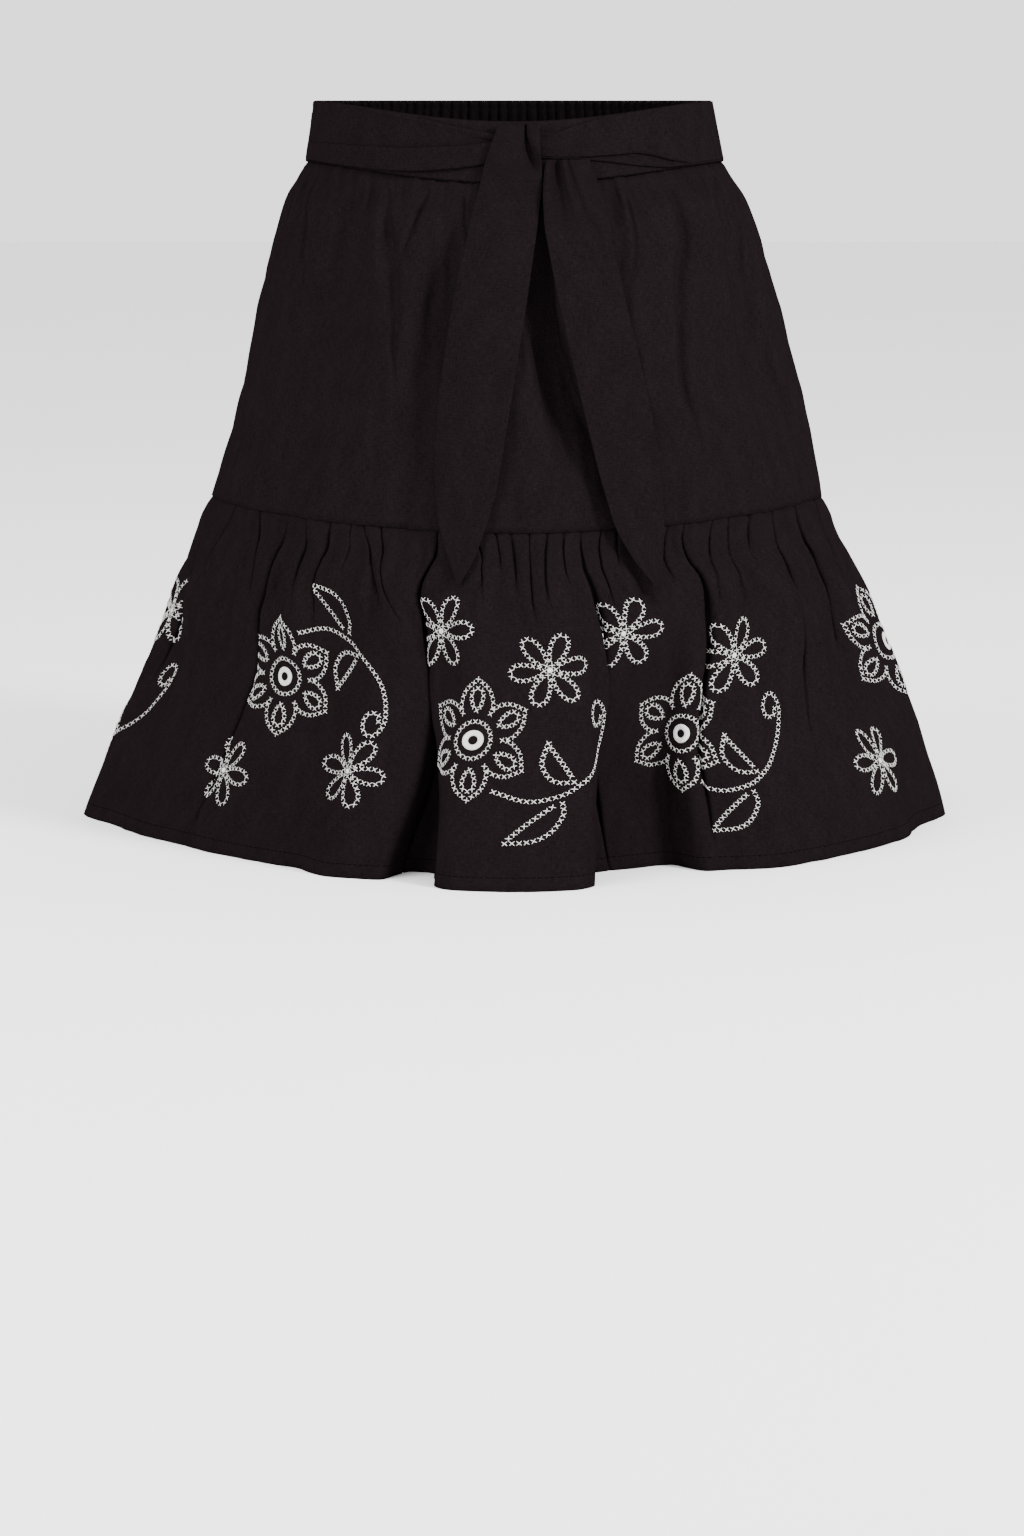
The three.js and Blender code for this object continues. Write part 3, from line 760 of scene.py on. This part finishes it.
def back_ribs(below, angles):
    """The elastic's ribs, pinched along its stitched channels."""
    count = 2 * BACK_RIBS
    spots = np.arange(count + 1)
    uneven = np.where((spots > 0) & (spots < count), RIB_WOBBLE * np.sin(spots**2 * 0.37), 0)
    place = BACK_START + (spots + uneven) / count * BACK_SPAN
    half = np.interp(angles, place, spots)
    channels = sum(np.exp(-(((below - line) / 1.1) ** 2)) for line in RIB_CHANNELS)
    fine = 0.35 * np.sin(half * 5.3 + 0.11 * below) + 0.25 * np.sin(half * 2.17 + 1.3 + 0.05 * below)
    return (-0.5 * np.cos(math.pi * half) * RIB_DEPTH + fine) * (1 - 0.55 * np.clip(channels, 0, 1))


front_angles = np.linspace(-FRONT_REACH, FRONT_REACH, FRONT_POINTS)
back_angles = np.linspace(BACK_START, BACK_START + BACK_SPAN, BACK_RIBS * POINTS_A_RIB + 1)
bands = {
    "waistband_front": band_piece("waistband_front_cloth", front_angles, front_ribs, cotton),
    "waistband_back": band_piece("waistband_back_cloth", back_angles, back_ribs, elastic),
}


# Panels of both tiers
SEAM_ALLOWANCE = 9.0
HEM_TURN = 9.0
SEAM_DIP = 0.8
EDGE_TUCK = 0.7
EDGE_REACH = 1.6
FRONT_ALLOWANCE_INSET = 1.1
BACK_ALLOWANCE_INSET = 2.2


def seam_place(tier, near):
    """The crest or trough of the tightest gathers that lies nearest to a cloth place."""
    u = near + np.linspace(-40, 40, 8001)
    turns = np.floor(gather_phase(tier, tier.gathers[0], u) / math.pi)
    crossings = u[1:][turns[1:] != turns[:-1]]
    return crossings[np.argmin(np.abs(crossings - near))]


def share_round(tier, ring, u):
    """How far round the body outline a cloth place lies on a ring, from 0 to 1."""
    wide = np.mod(u + tier.cut_bottom / 2, tier.cut_bottom) - tier.cut_bottom / 2
    return np.mod(np.interp(wide, ring.u, np.unwrap(ring.place, period=1)), 1)


def under_band(u, raised, inset):
    """The upper's seam allowance, inside the waistband."""
    body = outline(UPPER.top)
    angle = np.degrees(np.interp(share_round(UPPER, upper_rings[0], u) * body.length, body.way, body.angle))
    deeper = np.where(np.abs(angle) > 90, BACK_ALLOWANCE_INSET, FRONT_ALLOWANCE_INSET)
    return band_points(UPPER.top - raised, angle, -inset - deeper)


def under_upper(u, raised, inset):
    """The ruffle's seam allowance, inside the upper."""
    share = share_round(RUFFLE, ruffle_rings[0], u)
    above = np.interp(share, lowest.place[order], upper.u[order])
    v = np.full_like(u, 1 - raised / (UPPER.bottom - UPPER.top))
    return on_cloth(upper, above, v, -inset)


def panel(name, cloth, side, step, allowance, hemmed):
    """The front or back of a tier: the allowance inside the seam above, the panel, and its lower edge."""
    tier = cloth.tier
    left, right = seam_place(tier, -tier.cut_bottom / 4), seam_place(tier, tier.cut_bottom / 4)
    first, last = (left, right) if side == "front" else (right, left + tier.cut_bottom)
    u = np.linspace(first + 0.1, last - 0.1, 1 + round((last - first) / step))
    height = tier.bottom - tier.top
    edge = np.minimum(u - u[0], u[-1] - u)
    tuck = EDGE_TUCK * (1 - smooth(edge / EDGE_REACH))
    grid = [allowance(u, 1 + (SEAM_ALLOWANCE - 1) * k / 4, SEAM_DIP + 0.5 + 0.2 * k)
            for k in range(4, -1, -1)]
    for v in cloth.shares:
        grid.append(on_cloth(cloth, u, np.full_like(u, v), -SEAM_DIP * (1 - smooth(v * height / 3)) - tuck))
    if hemmed:
        grid.append(on_cloth(cloth, u, np.ones_like(u), -0.45 - tuck) - (0, 0, 0.25))
        for k in range(5):
            v = np.full_like(u, 1 - HEM_TURN * k / 4 / height)
            grid.append(on_cloth(cloth, u, v, -0.95 - tuck))
    length = height + SEAM_ALLOWANCE + (HEM_TURN if hemmed else 0)
    return cloth_piece(name, np.stack(grid), last - first, length, COTTON, cotton), last - first, length


panels = {}
for name, cloth, side, step, allowance, hemmed in (
    ("upper_front", upper, "front", 1.6, under_band, False),
    ("upper_back", upper, "back", 1.6, under_band, False),
    ("ruffle_front", ruffle, "front", 1.6, under_upper, True),
    ("ruffle_back", ruffle, "back", 2.0, under_upper, True),
):
    panels[name] = panel(name + "_cloth", cloth, side, step, allowance, hemmed)


# Sash across the front
SASH_ROWS = 60
SASH_COLUMNS = 150


def rolled_top(top):
    """The sash's upper edge, turned in: from its hidden end up, over and a little way down."""
    return [(top + 5.5, 1.75), (top + 1.4, 1.75), (top + 0.5, 1.95), (top + 0.15, 2.4), (top + 0.6, 2.85),
            (top + 1.8, 2.95)]


def turned_foot(foot, out):
    return [(foot - 1.4, out), (foot - 0.5, out - 0.3), (foot - 0.1, out - 0.8), (foot - 0.7, out - 1.2),
            (foot - 4.5, out - 1.3)]


def left_path(angle):
    """The left tie: a hollow under its rolled edge, then a fold whose lower layer lies in front."""
    top, edge, foot = (softly_between(LEFT_SASH, "angle", c, angle) for c in ("top", "edge", "foot"))
    folded = smooth((angle + 60) / 34)
    bulge = 0.9 * folded * math.exp(-(((angle + 15) / 13) ** 2))
    tuck = 0.3 + 4.5 * folded
    front = 2.4 + 1.3 * folded
    middle = [
        (top + 4, 2.2),
        ((top + edge) / 2 + 1, 1.85),
        (edge + tuck, 1.85 + 0.05 * folded),
        (edge + tuck + 0.3, 2.1 + 0.2 * folded),
        (edge + tuck * 0.9, 2.15 + 0.5 * folded),
        (edge + 0.6, 2.25 + 0.6 * folded + bulge),
        (edge + 0.1, 2.3 + 1.0 * folded + bulge),
        (edge + 0.8, front + 0.4 * folded + bulge),
        (edge + 3.5, front + 0.3 * folded + bulge * 0.7),
        ((edge + foot) / 2, front + 0.1),
    ]
    return rolled_top(top) + middle + turned_foot(foot, front - 0.2)


def right_path(angle):
    """The right tie: its front layer ends at a fold, and the layer behind it shows below."""
    top, edge, foot = (softly_between(RIGHT_SASH, "angle", c, angle) for c in ("top", "edge", "foot"))
    folded = smooth((foot - edge - 0.8) / 4)
    tuck = 0.2 + 4.2 * folded
    front = 2.4 + 1.3 * folded
    middle = [
        (top + 4, 2.6),
        ((top + edge) / 2, front),
        (edge - 3, front + 0.3 * folded),
        (edge - 0.4, front + 0.1),
        (edge, front - 0.2 - 0.3 * folded),
        (edge - 0.5 * folded, front - 0.3 - 0.8 * folded),
        (edge - tuck, 2.1),
        (edge - tuck + 0.4, 1.8),
        (edge + 0.4, 1.75),
        ((edge + foot) / 2, 2.0),
    ]
    return rolled_top(top) + middle + turned_foot(max(foot, edge + 1.2), 2.4)


def creases(angle, share, knot_angle, reach):
    """Creases that run together towards the knot."""
    near = np.clip(1 - abs(angle - knot_angle) / reach, 0, 1)
    return near * (0.9 * math.sin(share * 14 + 0.8) + 0.5 * math.sin(share * 25 + 2.2 + angle * 0.05))


def sash_piece(name, first, last, path, knot_angle):
    angles = np.linspace(first, last, SASH_COLUMNS)
    columns, lengths = [], []
    for angle in angles:
        shape = bend(path(angle), SASH_ROWS)
        lengths.append(path_length(shape))
        share = np.linspace(0, 1, SASH_ROWS)
        ruck = np.array([creases(angle, s, knot_angle, 16) for s in share]) * np.sin(math.pi * share) ** 0.5
        soft = 0.8 * soft_height(angle / 360, shape[:, 0] * 2.2)
        out = np.maximum(shape[:, 1] + np.clip(ruck * 0.8 + soft * 0.5, -0.4, 1.2) * (shape[:, 1] > 2.3), 1.7)
        free = 0.2 + 0.8 * smooth((88.5 - abs(angle)) / 14)
        columns.append(band_points(shape[:, 0], np.full(SASH_ROWS, angle), 1.35 + (out - 1.35) * free))
    grid = np.stack(columns, 1)
    width, length = path_length(grid[SASH_ROWS // 2]), np.mean(lengths)
    return cloth_piece(name, grid, width, length, TIE_CLOTH * 0.75, tie_cotton), width, length


sash_left = sash_piece("sash_left_cloth", -88.4, 1.0, left_path, 1)
sash_right = sash_piece("sash_right_cloth", 0.5, 88.4, right_path, 4)


# Hanging ends of the sash
END_COLUMNS = 41


def end_grid(rows, drops, relief):
    """The middle of a hanging end's cloth: relief lifts it by drop and place across, from -1 to 1."""
    across = np.linspace(-1, 1, END_COLUMNS)
    grid = []
    for drop in drops:
        middle, half, out = (softly_between(rows, "drop", c, drop) for c in ("middle", "half", "out"))
        level = drop - between(BODY, "drop", "dip", drop)
        width, depth, point, shift = body_shape(level)
        x = middle + half * across
        y = -depth * side_shape(np.sqrt(1 - ((x - shift) / width) ** 2), point) - out
        grid.append(np.stack([x, y - relief(drop, across), np.full_like(x, -drop)], -1))
    return np.stack(grid)


def bump_at(x, place, width):
    return np.exp(-(((x - place) / width) ** 2))


def left_relief(drop, across):
    """A slit in the knot with a rolled fold beside it, then soft folds that fade towards the point."""
    slit_place = 0.34 + 0.36 * smooth((drop - 16) / 24)
    slit_width = 0.07 + 0.13 * smooth((drop - 20) / 12)
    open_share = 1 - smooth((drop - 34) / 16)
    slit = -5.5 * open_share * bump_at(across, slit_place, slit_width)
    roll = 1.8 * (1 - smooth((drop - 34) / 30)) * bump_at(across, slit_place + 0.36, 0.24)
    body = 1.2 * (1 - smooth((drop - 30) / 30)) * bump_at(across, -0.3, 0.6)
    hang = 1 - smooth((drop - 225) / 50)
    grown = hang * smooth((drop - 30) / 60)
    ridge = 1.5 * grown * bump_at(across, 0.1 - 0.0012 * drop, 0.5)
    crease = -0.5 * grown * bump_at(across, 0.58 - 0.0009 * drop, 0.14)
    return slit + roll + body + ridge + crease - 0.6 * across**6 * smooth((drop - 20) / 20)


# Under the sash, across the right end: place, how it drifts on the way down, and width
PLEATS = ((-0.86, -0.03, 0.09), (-0.2, 0.16, 0.1), (0.16, 0.2, 0.11), (0.62, 0.1, 0.13))


def right_relief(drop, across):
    """Pleats fan out round a dark pocket, a folded ridge runs down the right, and soft folds follow."""
    pleated = 1 - smooth((drop - 62) / 22)
    spread = (drop - 37) / 20
    fan = 0.0
    for place, drift, width in PLEATS:
        fan = fan + bump_at(across, place + drift * spread, width + 0.02 * spread)
    pocket = bump_at(across, -0.52 + 0.05 * spread, 0.2)
    puff = 2.6 * pleated - 4.6 * pleated * pocket + 2.0 * pleated * fan
    ridge_place = 0.42 + 0.4 * smooth((drop - 40) / 50)
    ridge = 1.6 * (1 - smooth((drop - 80) / 60)) * bump_at(across, ridge_place, 0.16)
    hang = 1 - smooth((drop - 225) / 50)
    grown = hang * smooth((drop - 60) / 60)
    fold = 1.7 * grown * bump_at(across, -0.5 + 0.0045 * (drop - 60), 0.45)
    crease = -0.6 * grown * bump_at(across, -0.85 + 0.006 * (drop - 60), 0.14)
    return puff + ridge + fold + crease - 0.5 * across**6


def end_piece(name, rows, first, last, relief, turn_over):
    drops = np.concatenate([np.linspace(first, first + 45, 40)[:-1], np.linspace(first + 45, last, 90)])
    grid = end_grid(rows, drops, relief)
    if turn_over:
        behind = []
        for back, down in ((7.5, 9), (7.2, 5), (6.4, 2), (5, 0.3), (3.2, -0.9), (1.4, -0.8), (0.4, -0.3)):
            row = grid[0].copy()
            row[:, 1] += back * 0.55
            row[:, 2] -= down
            behind.append(row)
        grid = np.concatenate([np.stack(behind), grid])
    length = path_length(grid[:, END_COLUMNS // 2])
    width = 2 * max(r.half for r in rows)
    piece = cloth_piece(name, grid, width, length, TIE_CLOTH, tie_cotton, rounded=0.3)
    half = np.array([softly_between(rows, "drop", "half", d) for d in drops])
    area = ((half[1:] + half[:-1]) * np.diff(drops)).sum() + (length - (last - first)) * 2 * half[0]
    return piece, width, length, area


left_end = end_piece("sash_end_left_cloth", LEFT_END, 15.5, 290.1, left_relief, True)
right_end = end_piece("sash_end_right_cloth", RIGHT_END, 36, 293.6, right_relief, False)


# Stitches
def shape_of(obj):
    """The points in mm and faces of a small model, which is then removed."""
    points = np.array([v.co for v in obj.data.vertices]) / MM
    faces = np.array([tuple(p.vertices) for p in obj.data.polygons])
    bpy.data.objects.remove(obj)
    return points, faces


def flattened(share):
    """The shape of the small model in hand, made flatter."""
    model = bpy.context.active_object
    bpy.ops.object.mode_set(mode="EDIT")
    bpy.ops.mesh.select_all(action="SELECT")
    bpy.ops.transform.resize(value=(1, 1, share))
    bpy.ops.object.mode_set(mode="OBJECT")
    return shape_of(model)


def thread_bar(length, width, thickness):
    """One straight stitch: a flattened bar whose ends taper into the cloth."""
    deselect()
    bpy.ops.mesh.primitive_cylinder_add(vertices=4, radius=width / 2 * MM, depth=length * 0.55 * MM,
                                        rotation=(0, math.pi / 2, 0))
    bar = bpy.context.active_object
    bpy.ops.object.transform_apply(location=True, rotation=True, scale=True)
    bpy.ops.object.mode_set(mode="EDIT")
    bpy.ops.mesh.select_mode(type="FACE")
    for side in (-1, 1):
        bpy.ops.mesh.select_all(action="DESELECT")
        bpy.ops.object.mode_set(mode="OBJECT")
        for face in bar.data.polygons:
            face.select = face.normal.x * side > 0.9
        bpy.ops.object.mode_set(mode="EDIT")
        bpy.ops.mesh.extrude_region_move(TRANSFORM_OT_translate={"value": (side * length * 0.225 * MM, 0, 0)})
        bpy.ops.transform.resize(value=(1, 0.5, 0.5))
    return flattened(thickness / width)


def turned(points, degrees):
    a = math.radians(degrees)
    out = points.copy()
    out[:, 0] = points[:, 0] * math.cos(a) - points[:, 1] * math.sin(a)
    out[:, 1] = points[:, 0] * math.sin(a) + points[:, 1] * math.cos(a)
    return out


CROSS_BAR = 3.6
CROSS_WIDTH = 0.48
CROSS_THICK = 0.55
bar_points, bar_faces = thread_bar(CROSS_BAR, CROSS_WIDTH, CROSS_THICK)
upper_bar = turned(bar_points, -45)
upper_bar[:, 2] += 0.3 * np.exp(-((bar_points[:, 0] / 1.4) ** 2))
cross_points = np.concatenate([turned(bar_points, 45), upper_bar])
cross_faces = np.concatenate([bar_faces, bar_faces + len(bar_points)])
cross_uv = np.concatenate([bar_points[:, :2], bar_points[:, :2]])


RING_THREADS = 48


def satin_ring(outer, inner, height):
    """A ring of threads laid side by side across it."""
    deselect()
    bpy.ops.mesh.primitive_torus_add(
        major_segments=RING_THREADS, minor_segments=8,
        major_radius=(outer + inner) / 4 * MM, minor_radius=(outer - inner) / 4 * MM)
    points, faces = flattened(height / ((outer - inner) / 2))
    segment = np.round(np.arctan2(points[:, 1], points[:, 0]) / FULL_TURN * RING_THREADS).astype(int)
    points[:, 2] *= np.where(segment % 2 == 0, 1.0, 0.6)
    return points, faces


ring_points, ring_faces = satin_ring(outer=11.6, inner=5.2, height=1.5)


def dot(radius, height):
    deselect()
    bpy.ops.mesh.primitive_ico_sphere_add(subdivisions=2, radius=radius * MM)
    return flattened(height / radius)


dot_points, dot_faces = dot(radius=1.7, height=0.8)

MOTIF_SIZE = 0.88
STITCH_PITCH = 3.35 / MOTIF_SIZE
CURVE_POINTS = 400


def stitch_row(points, closed=False, skip_last=False):
    """Crosses along a curve: x, y and the curve's direction in degrees for each."""
    points = [np.asarray(p, float) for p in points]
    if closed:
        points = points + [points[0]]
    fine = bend(points, CURVE_POINTS)
    last = CURVE_POINTS - 1
    count = max(2, round(path_length(fine) / STITCH_PITCH) + 1)
    place = np.linspace(0, last, count)
    if closed or skip_last:
        place = place[:-1]

    def along(place):
        return np.array([np.interp(place, np.arange(CURVE_POINTS), c) for c in fine.T])

    x, y = along(place)
    step = along(np.minimum(place + 2, last)) - along(np.maximum(place - 2, 0))
    return np.stack([x, y, np.degrees(np.arctan2(step[1], step[0]))], -1)


def polar(radius, degrees):
    a = math.radians(degrees)
    return radius * math.cos(a), radius * math.sin(a)


def loop(direction, near, far, half):
    """A teardrop loop of crosses, narrow towards the flower's middle."""
    t = np.linspace(0, FULL_TURN, 25)[:-1]
    along = (near + far) / 2 - (far - near) / 2 * np.cos(t)
    aside = half * np.sin(t) * (0.8 - 0.25 * np.cos(t))
    a = math.radians(direction)
    x, y = along * math.cos(a) - aside * math.sin(a), along * math.sin(a) + aside * math.cos(a)
    return stitch_row(np.stack([x, y], -1), closed=True)


PETALS = 6
JUNCTION = 20.0
PETAL_TIP = 40.0


def big_flower():
    rows = []
    for k in range(PETALS):
        a = 90 + k * 360 / PETALS
        side = [polar(JUNCTION, a - 30), polar(26.5, a - 26), polar(34, a - 14.5), polar(PETAL_TIP, a)]
        back = [polar(PETAL_TIP, a), polar(34, a + 14.5), polar(26.5, a + 26), polar(JUNCTION, a + 30)]
        rows += [stitch_row(side, skip_last=True), stitch_row(back, skip_last=True)]
        rows.append(loop(a, 19.5, 34, 5.0))
    rows.append(stitch_row([polar(12.2, d) for d in range(0, 360, 20)], closed=True))
    return np.concatenate(rows)


def small_flower(tilt):
    return np.concatenate([loop(tilt + k * 60, 3.6, 25, 6.2) for k in range(PETALS)])


def vine():
    """The stem that curls up beside a flower, with a leaf on each side."""
    stem = stitch_row([(14, -34), (33, -40.4), (51, -36.5), (60, -30.4), (69.5, -22), (77, -11), (81.5, 2),
                       (83, 13), (79, 21.5), (73, 21.5), (70, 14.5), (72.5, 8), (78, 7.5), (79.5, 12)])
    leaf_above = [stitch_row([(57, -28), (49, -28), (43, -24.5), (39, -15), (42, -2)]),
                  stitch_row([(43.5, -5), (48, -12), (53, -20), (57, -27)], skip_last=True)]
    leaf_below = [stitch_row([(51.5, -42), (52.2, -50), (46.3, -61), (37, -67), (22, -68.5)]),
                  stitch_row([(24, -65), (33.3, -55.3), (43, -46.7), (49, -42)], skip_last=True)]
    return np.concatenate([stem, *leaf_above, *leaf_below])


# Flowers round the ruffle, by cloth place and drop, with a small flower to the left and right of each.
# flip: -1 turns the vine upside down. wide and small_wide: how much wider big and small flowers are stitched.
Motif = namedtuple("Motif", "at drop flip wide left_at left_drop right_at right_drop small_wide")
MOTIFS = [Motif(*row) for row in (
    (-486, 381, 1, 1.3, -570, 314, -422, 328, 1.5),
    (-234, 351, -1, 1.12, -274, 414, -168, 401, 1.04),
    (-28, 376, 1, 0.88, -60, 314, 18, 335, 1.04),
    (156, 380, 1, 1.08, 96, 317, 206, 335, 1.22),
    (412, 348, -1, 1.7, 325, 414, 480, 402, 1.3),
    (569, 380, 1, 0.95, 520, 318, 632, 335, 1.04),
    (726, 352, -1, 0.95, 678, 414, 790, 402, 1.04),
    (883, 380, 1, 0.95, 835, 318, 946, 335, 1.04),
    (1040, 352, -1, 0.95, 992, 414, 1100, 402, 1.04),
)]


def motif_places(middle_u, middle_drop, wide, x, y):
    """Cloth places and shares of height for a motif's points. The cloth gets wider down the ruffle."""
    v = np.clip((middle_drop - y - RUFFLE.top) / (RUFFLE.bottom - RUFFLE.top), 0.004, 0.985)
    width = RUFFLE.cut_top + (RUFFLE.cut_bottom - RUFFLE.cut_top) * v
    return middle_u + x * wide * RUFFLE.cut_bottom / width, v


def laid(shape, places, middle_u, middle_drop, wide, raised):
    """Copies of a small shape laid on the ruffle: places are x, y and direction in the motif's own plane."""
    turn = np.radians(places[:, 2])[:, None]
    x = places[:, :1] * MOTIF_SIZE + shape[None, :, 0] * np.cos(turn) - shape[None, :, 1] * np.sin(turn)
    y = places[:, 1:2] * MOTIF_SIZE + shape[None, :, 0] * np.sin(turn) + shape[None, :, 1] * np.cos(turn)
    u, v = motif_places(middle_u, middle_drop, wide, x.ravel(), y.ravel())
    lift = np.broadcast_to(shape[None, :, 2] + raised, x.shape).ravel()
    return on_cloth(ruffle, u, v, lift)


class Stitching:
    """Collects stitched shapes and makes one piece of them."""

    def __init__(self):
        self.points, self.faces, self.uv, self.count = [], [], [], 0

    def add(self, points, faces, uv, copies):
        size = len(points) // copies
        for k in range(copies):
            self.faces += [[i + self.count + k * size for i in face] for face in faces.tolist()]
        self.points.append(points)
        self.uv.append(np.tile(uv, (copies, 1)))
        self.count += len(points)

    def piece(self, name, material):
        return mesh_object(name, np.concatenate(self.points), self.faces, np.concatenate(self.uv), material)


THREAD_LIFT = COTTON / 2 + 0.18
FLIPPED_TURN = -7
VINE_WIDE = 1.08


def embroider(stitching, motif):
    """One flower with its vine and the small flowers beside it."""
    stem = vine()
    if motif.flip < 0:
        stem = turned(stem * (1, -1, -1), FLIPPED_TURN) + (0, 0, FLIPPED_TURN)
    rows = [(big_flower(), motif.at, motif.drop, motif.wide),
            (stem, motif.at, motif.drop, max(motif.wide, VINE_WIDE))]
    hearts = [(ring_points, ring_faces, motif.at, motif.drop)]
    for at, drop in ((motif.left_at, motif.left_drop), (motif.right_at, motif.right_drop)):
        rows.append((small_flower(7 * motif.flip), at, drop, motif.small_wide))
        hearts.append((dot_points, dot_faces, at, drop))
    for places, at, drop, wide in rows:
        crosses = laid(cross_points, places, at, drop, wide, THREAD_LIFT)
        stitching.add(crosses, cross_faces, cross_uv, len(places))
    for shape, faces, at, drop in hearts:
        heart = laid(shape, np.zeros((1, 3)), at, drop, 1.0, THREAD_LIFT - 0.1)
        stitching.add(heart, faces, shape[:, :2], 1)


embroidery = {}
for name, motifs in (
    ("front", [m for m in MOTIFS if abs(m.at) < RUFFLE.cut_bottom / 4]),
    ("back", [m for m in MOTIFS if abs(m.at) >= RUFFLE.cut_bottom / 4]),
):
    stitching = Stitching()
    for motif in motifs:
        embroider(stitching, motif)
    embroidery["ruffle_" + name] = stitching.piece("embroidery_" + name, thread)


# The hem's stitches
HEM_STITCH = 2.6
HEM_STITCH_PITCH = 3.4
stitch_points, stitch_faces = thread_bar(HEM_STITCH, width=0.5, thickness=0.4)


def hem_stitches(name, first, last):
    stitching = Stitching()
    count = round((last - first - 4) / HEM_STITCH_PITCH)
    u = np.linspace(first + 2, last - 2, count)
    height = RUFFLE.bottom - RUFFLE.top
    wide = (u[:, None] + stitch_points[None, :, 0]).ravel()
    v = 1 - (HEM_TURN - 1 - np.tile(stitch_points[:, 1], count)) / height
    points = on_cloth(ruffle, wide, v, np.tile(stitch_points[:, 2], count) + COTTON / 2)
    stitching.add(points, stitch_faces, stitch_points[:, :2], count)
    return stitching.piece(name, dark_thread)


hem_left, hem_right = seam_place(RUFFLE, -RUFFLE.cut_bottom / 4), seam_place(RUFFLE, RUFFLE.cut_bottom / 4)
hems = {
    "ruffle_front": hem_stitches("hem_stitches_front", hem_left, hem_right),
    "ruffle_back": hem_stitches("hem_stitches_back", hem_right, hem_left + RUFFLE.cut_bottom),
}


# Room, light and camera
def set_room():
    bpy.ops.mesh.primitive_plane_add(size=14, location=(0, 3, -HEM_DROP * MM - 0.0005))
    floor = bpy.context.active_object
    floor.name = "floor"
    bpy.ops.object.transform_apply(location=True)
    pale = Finish("pale_floor", Roughness=0.9, Specular_IOR_Level=0.1)
    place = pale.node("ShaderNodeTexCoord", {}, {}, 3)
    shade = pale.noise(place, 3.0, 2.0)
    floor.data.materials.append(pale.surface(pale.mix(shade, (0.90, 0.90, 0.90, 1), (0.93, 0.93, 0.93, 1))))
    world = bpy.data.worlds.new("studio")
    bpy.context.scene.world = world
    world.use_nodes = True
    background = next(n for n in world.node_tree.nodes if n.type == "BACKGROUND")
    background.inputs["Color"].default_value = (1, 1, 1, 1)
    background.inputs["Strength"].default_value = 1.9


Lamp = namedtuple("Lamp", "name place aim size power")
LAMPS = [Lamp(*row) for row in (
    ("key", (2.2, -1.6, 1.2), (0, 0, -0.25), 0.7, 185),
    ("fill", (-2.0, -1.5, 0.8), (0, 0, -0.25), 1.6, 95),
    ("top", (0, -0.2, 1.9), (0, 0, -0.2), 1.6, 10),
)]


def set_lights():
    for lamp in LAMPS:
        way = np.array(lamp.aim) - np.array(lamp.place)
        flat = math.hypot(way[0], way[1])
        turn = (math.atan2(flat, -way[2]), 0, math.atan2(-way[0], way[1]))
        bpy.ops.object.light_add(type="AREA", location=lamp.place, rotation=turn)
        light = bpy.context.active_object
        light.name = lamp.name + "_light"
        light.data.size = lamp.size
        light.data.energy = lamp.power


def set_camera():
    bpy.ops.object.camera_add(location=[c * MM for c in CAMERA_PLACE],
                              rotation=(math.radians(90 - CAMERA_TILT), 0, 0))
    camera = bpy.context.active_object
    camera.data.lens = CAMERA_LENS
    camera.data.sensor_width = 36
    bpy.context.scene.camera = camera


set_room()
set_lights()
set_camera()


# Each piece rides on the root and hides the plain solids it stands for; the sizes it was cut to are worked
# out but not kept
def belongs(piece, slot, *nodes):
    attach(piece, "root")
    if nodes:
        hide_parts(*nodes)


for name, (piece, width, length) in panels.items():
    belongs(piece, "cotton", name)
    if name.startswith("ruffle"):
        belongs(embroidery[name], "embroidery")
        belongs(hems[name], "cotton")
        narrow = width * RUFFLE.cut_top / RUFFLE.cut_bottom
        width * MM
        length * MM
        (width + narrow) / 2 * length * MM * MM
    else:
        narrow = width * UPPER.cut_top / UPPER.cut_bottom
        width * MM
        length * MM
        "waistband_" + name.split("_")[1]
        (width + narrow) / 2 * length * MM * MM
for name, (piece, width) in bands.items():
    belongs(piece, "elastic_band" if name.endswith("back") else "cotton", name)
    width * MM
for name, (piece, width, length) in (("sash_left", sash_left), ("sash_right", sash_right)):
    belongs(piece, "sash", name)
    width * MM
    length * MM
for nodes, (piece, width, length, area) in (
    (("sash_knot", "sash_end_left"), left_end),
    (("sash_end_right",), right_end),
):
    belongs(piece, "sash", *nodes)
    width * MM
    length * MM
    area * MM * MM
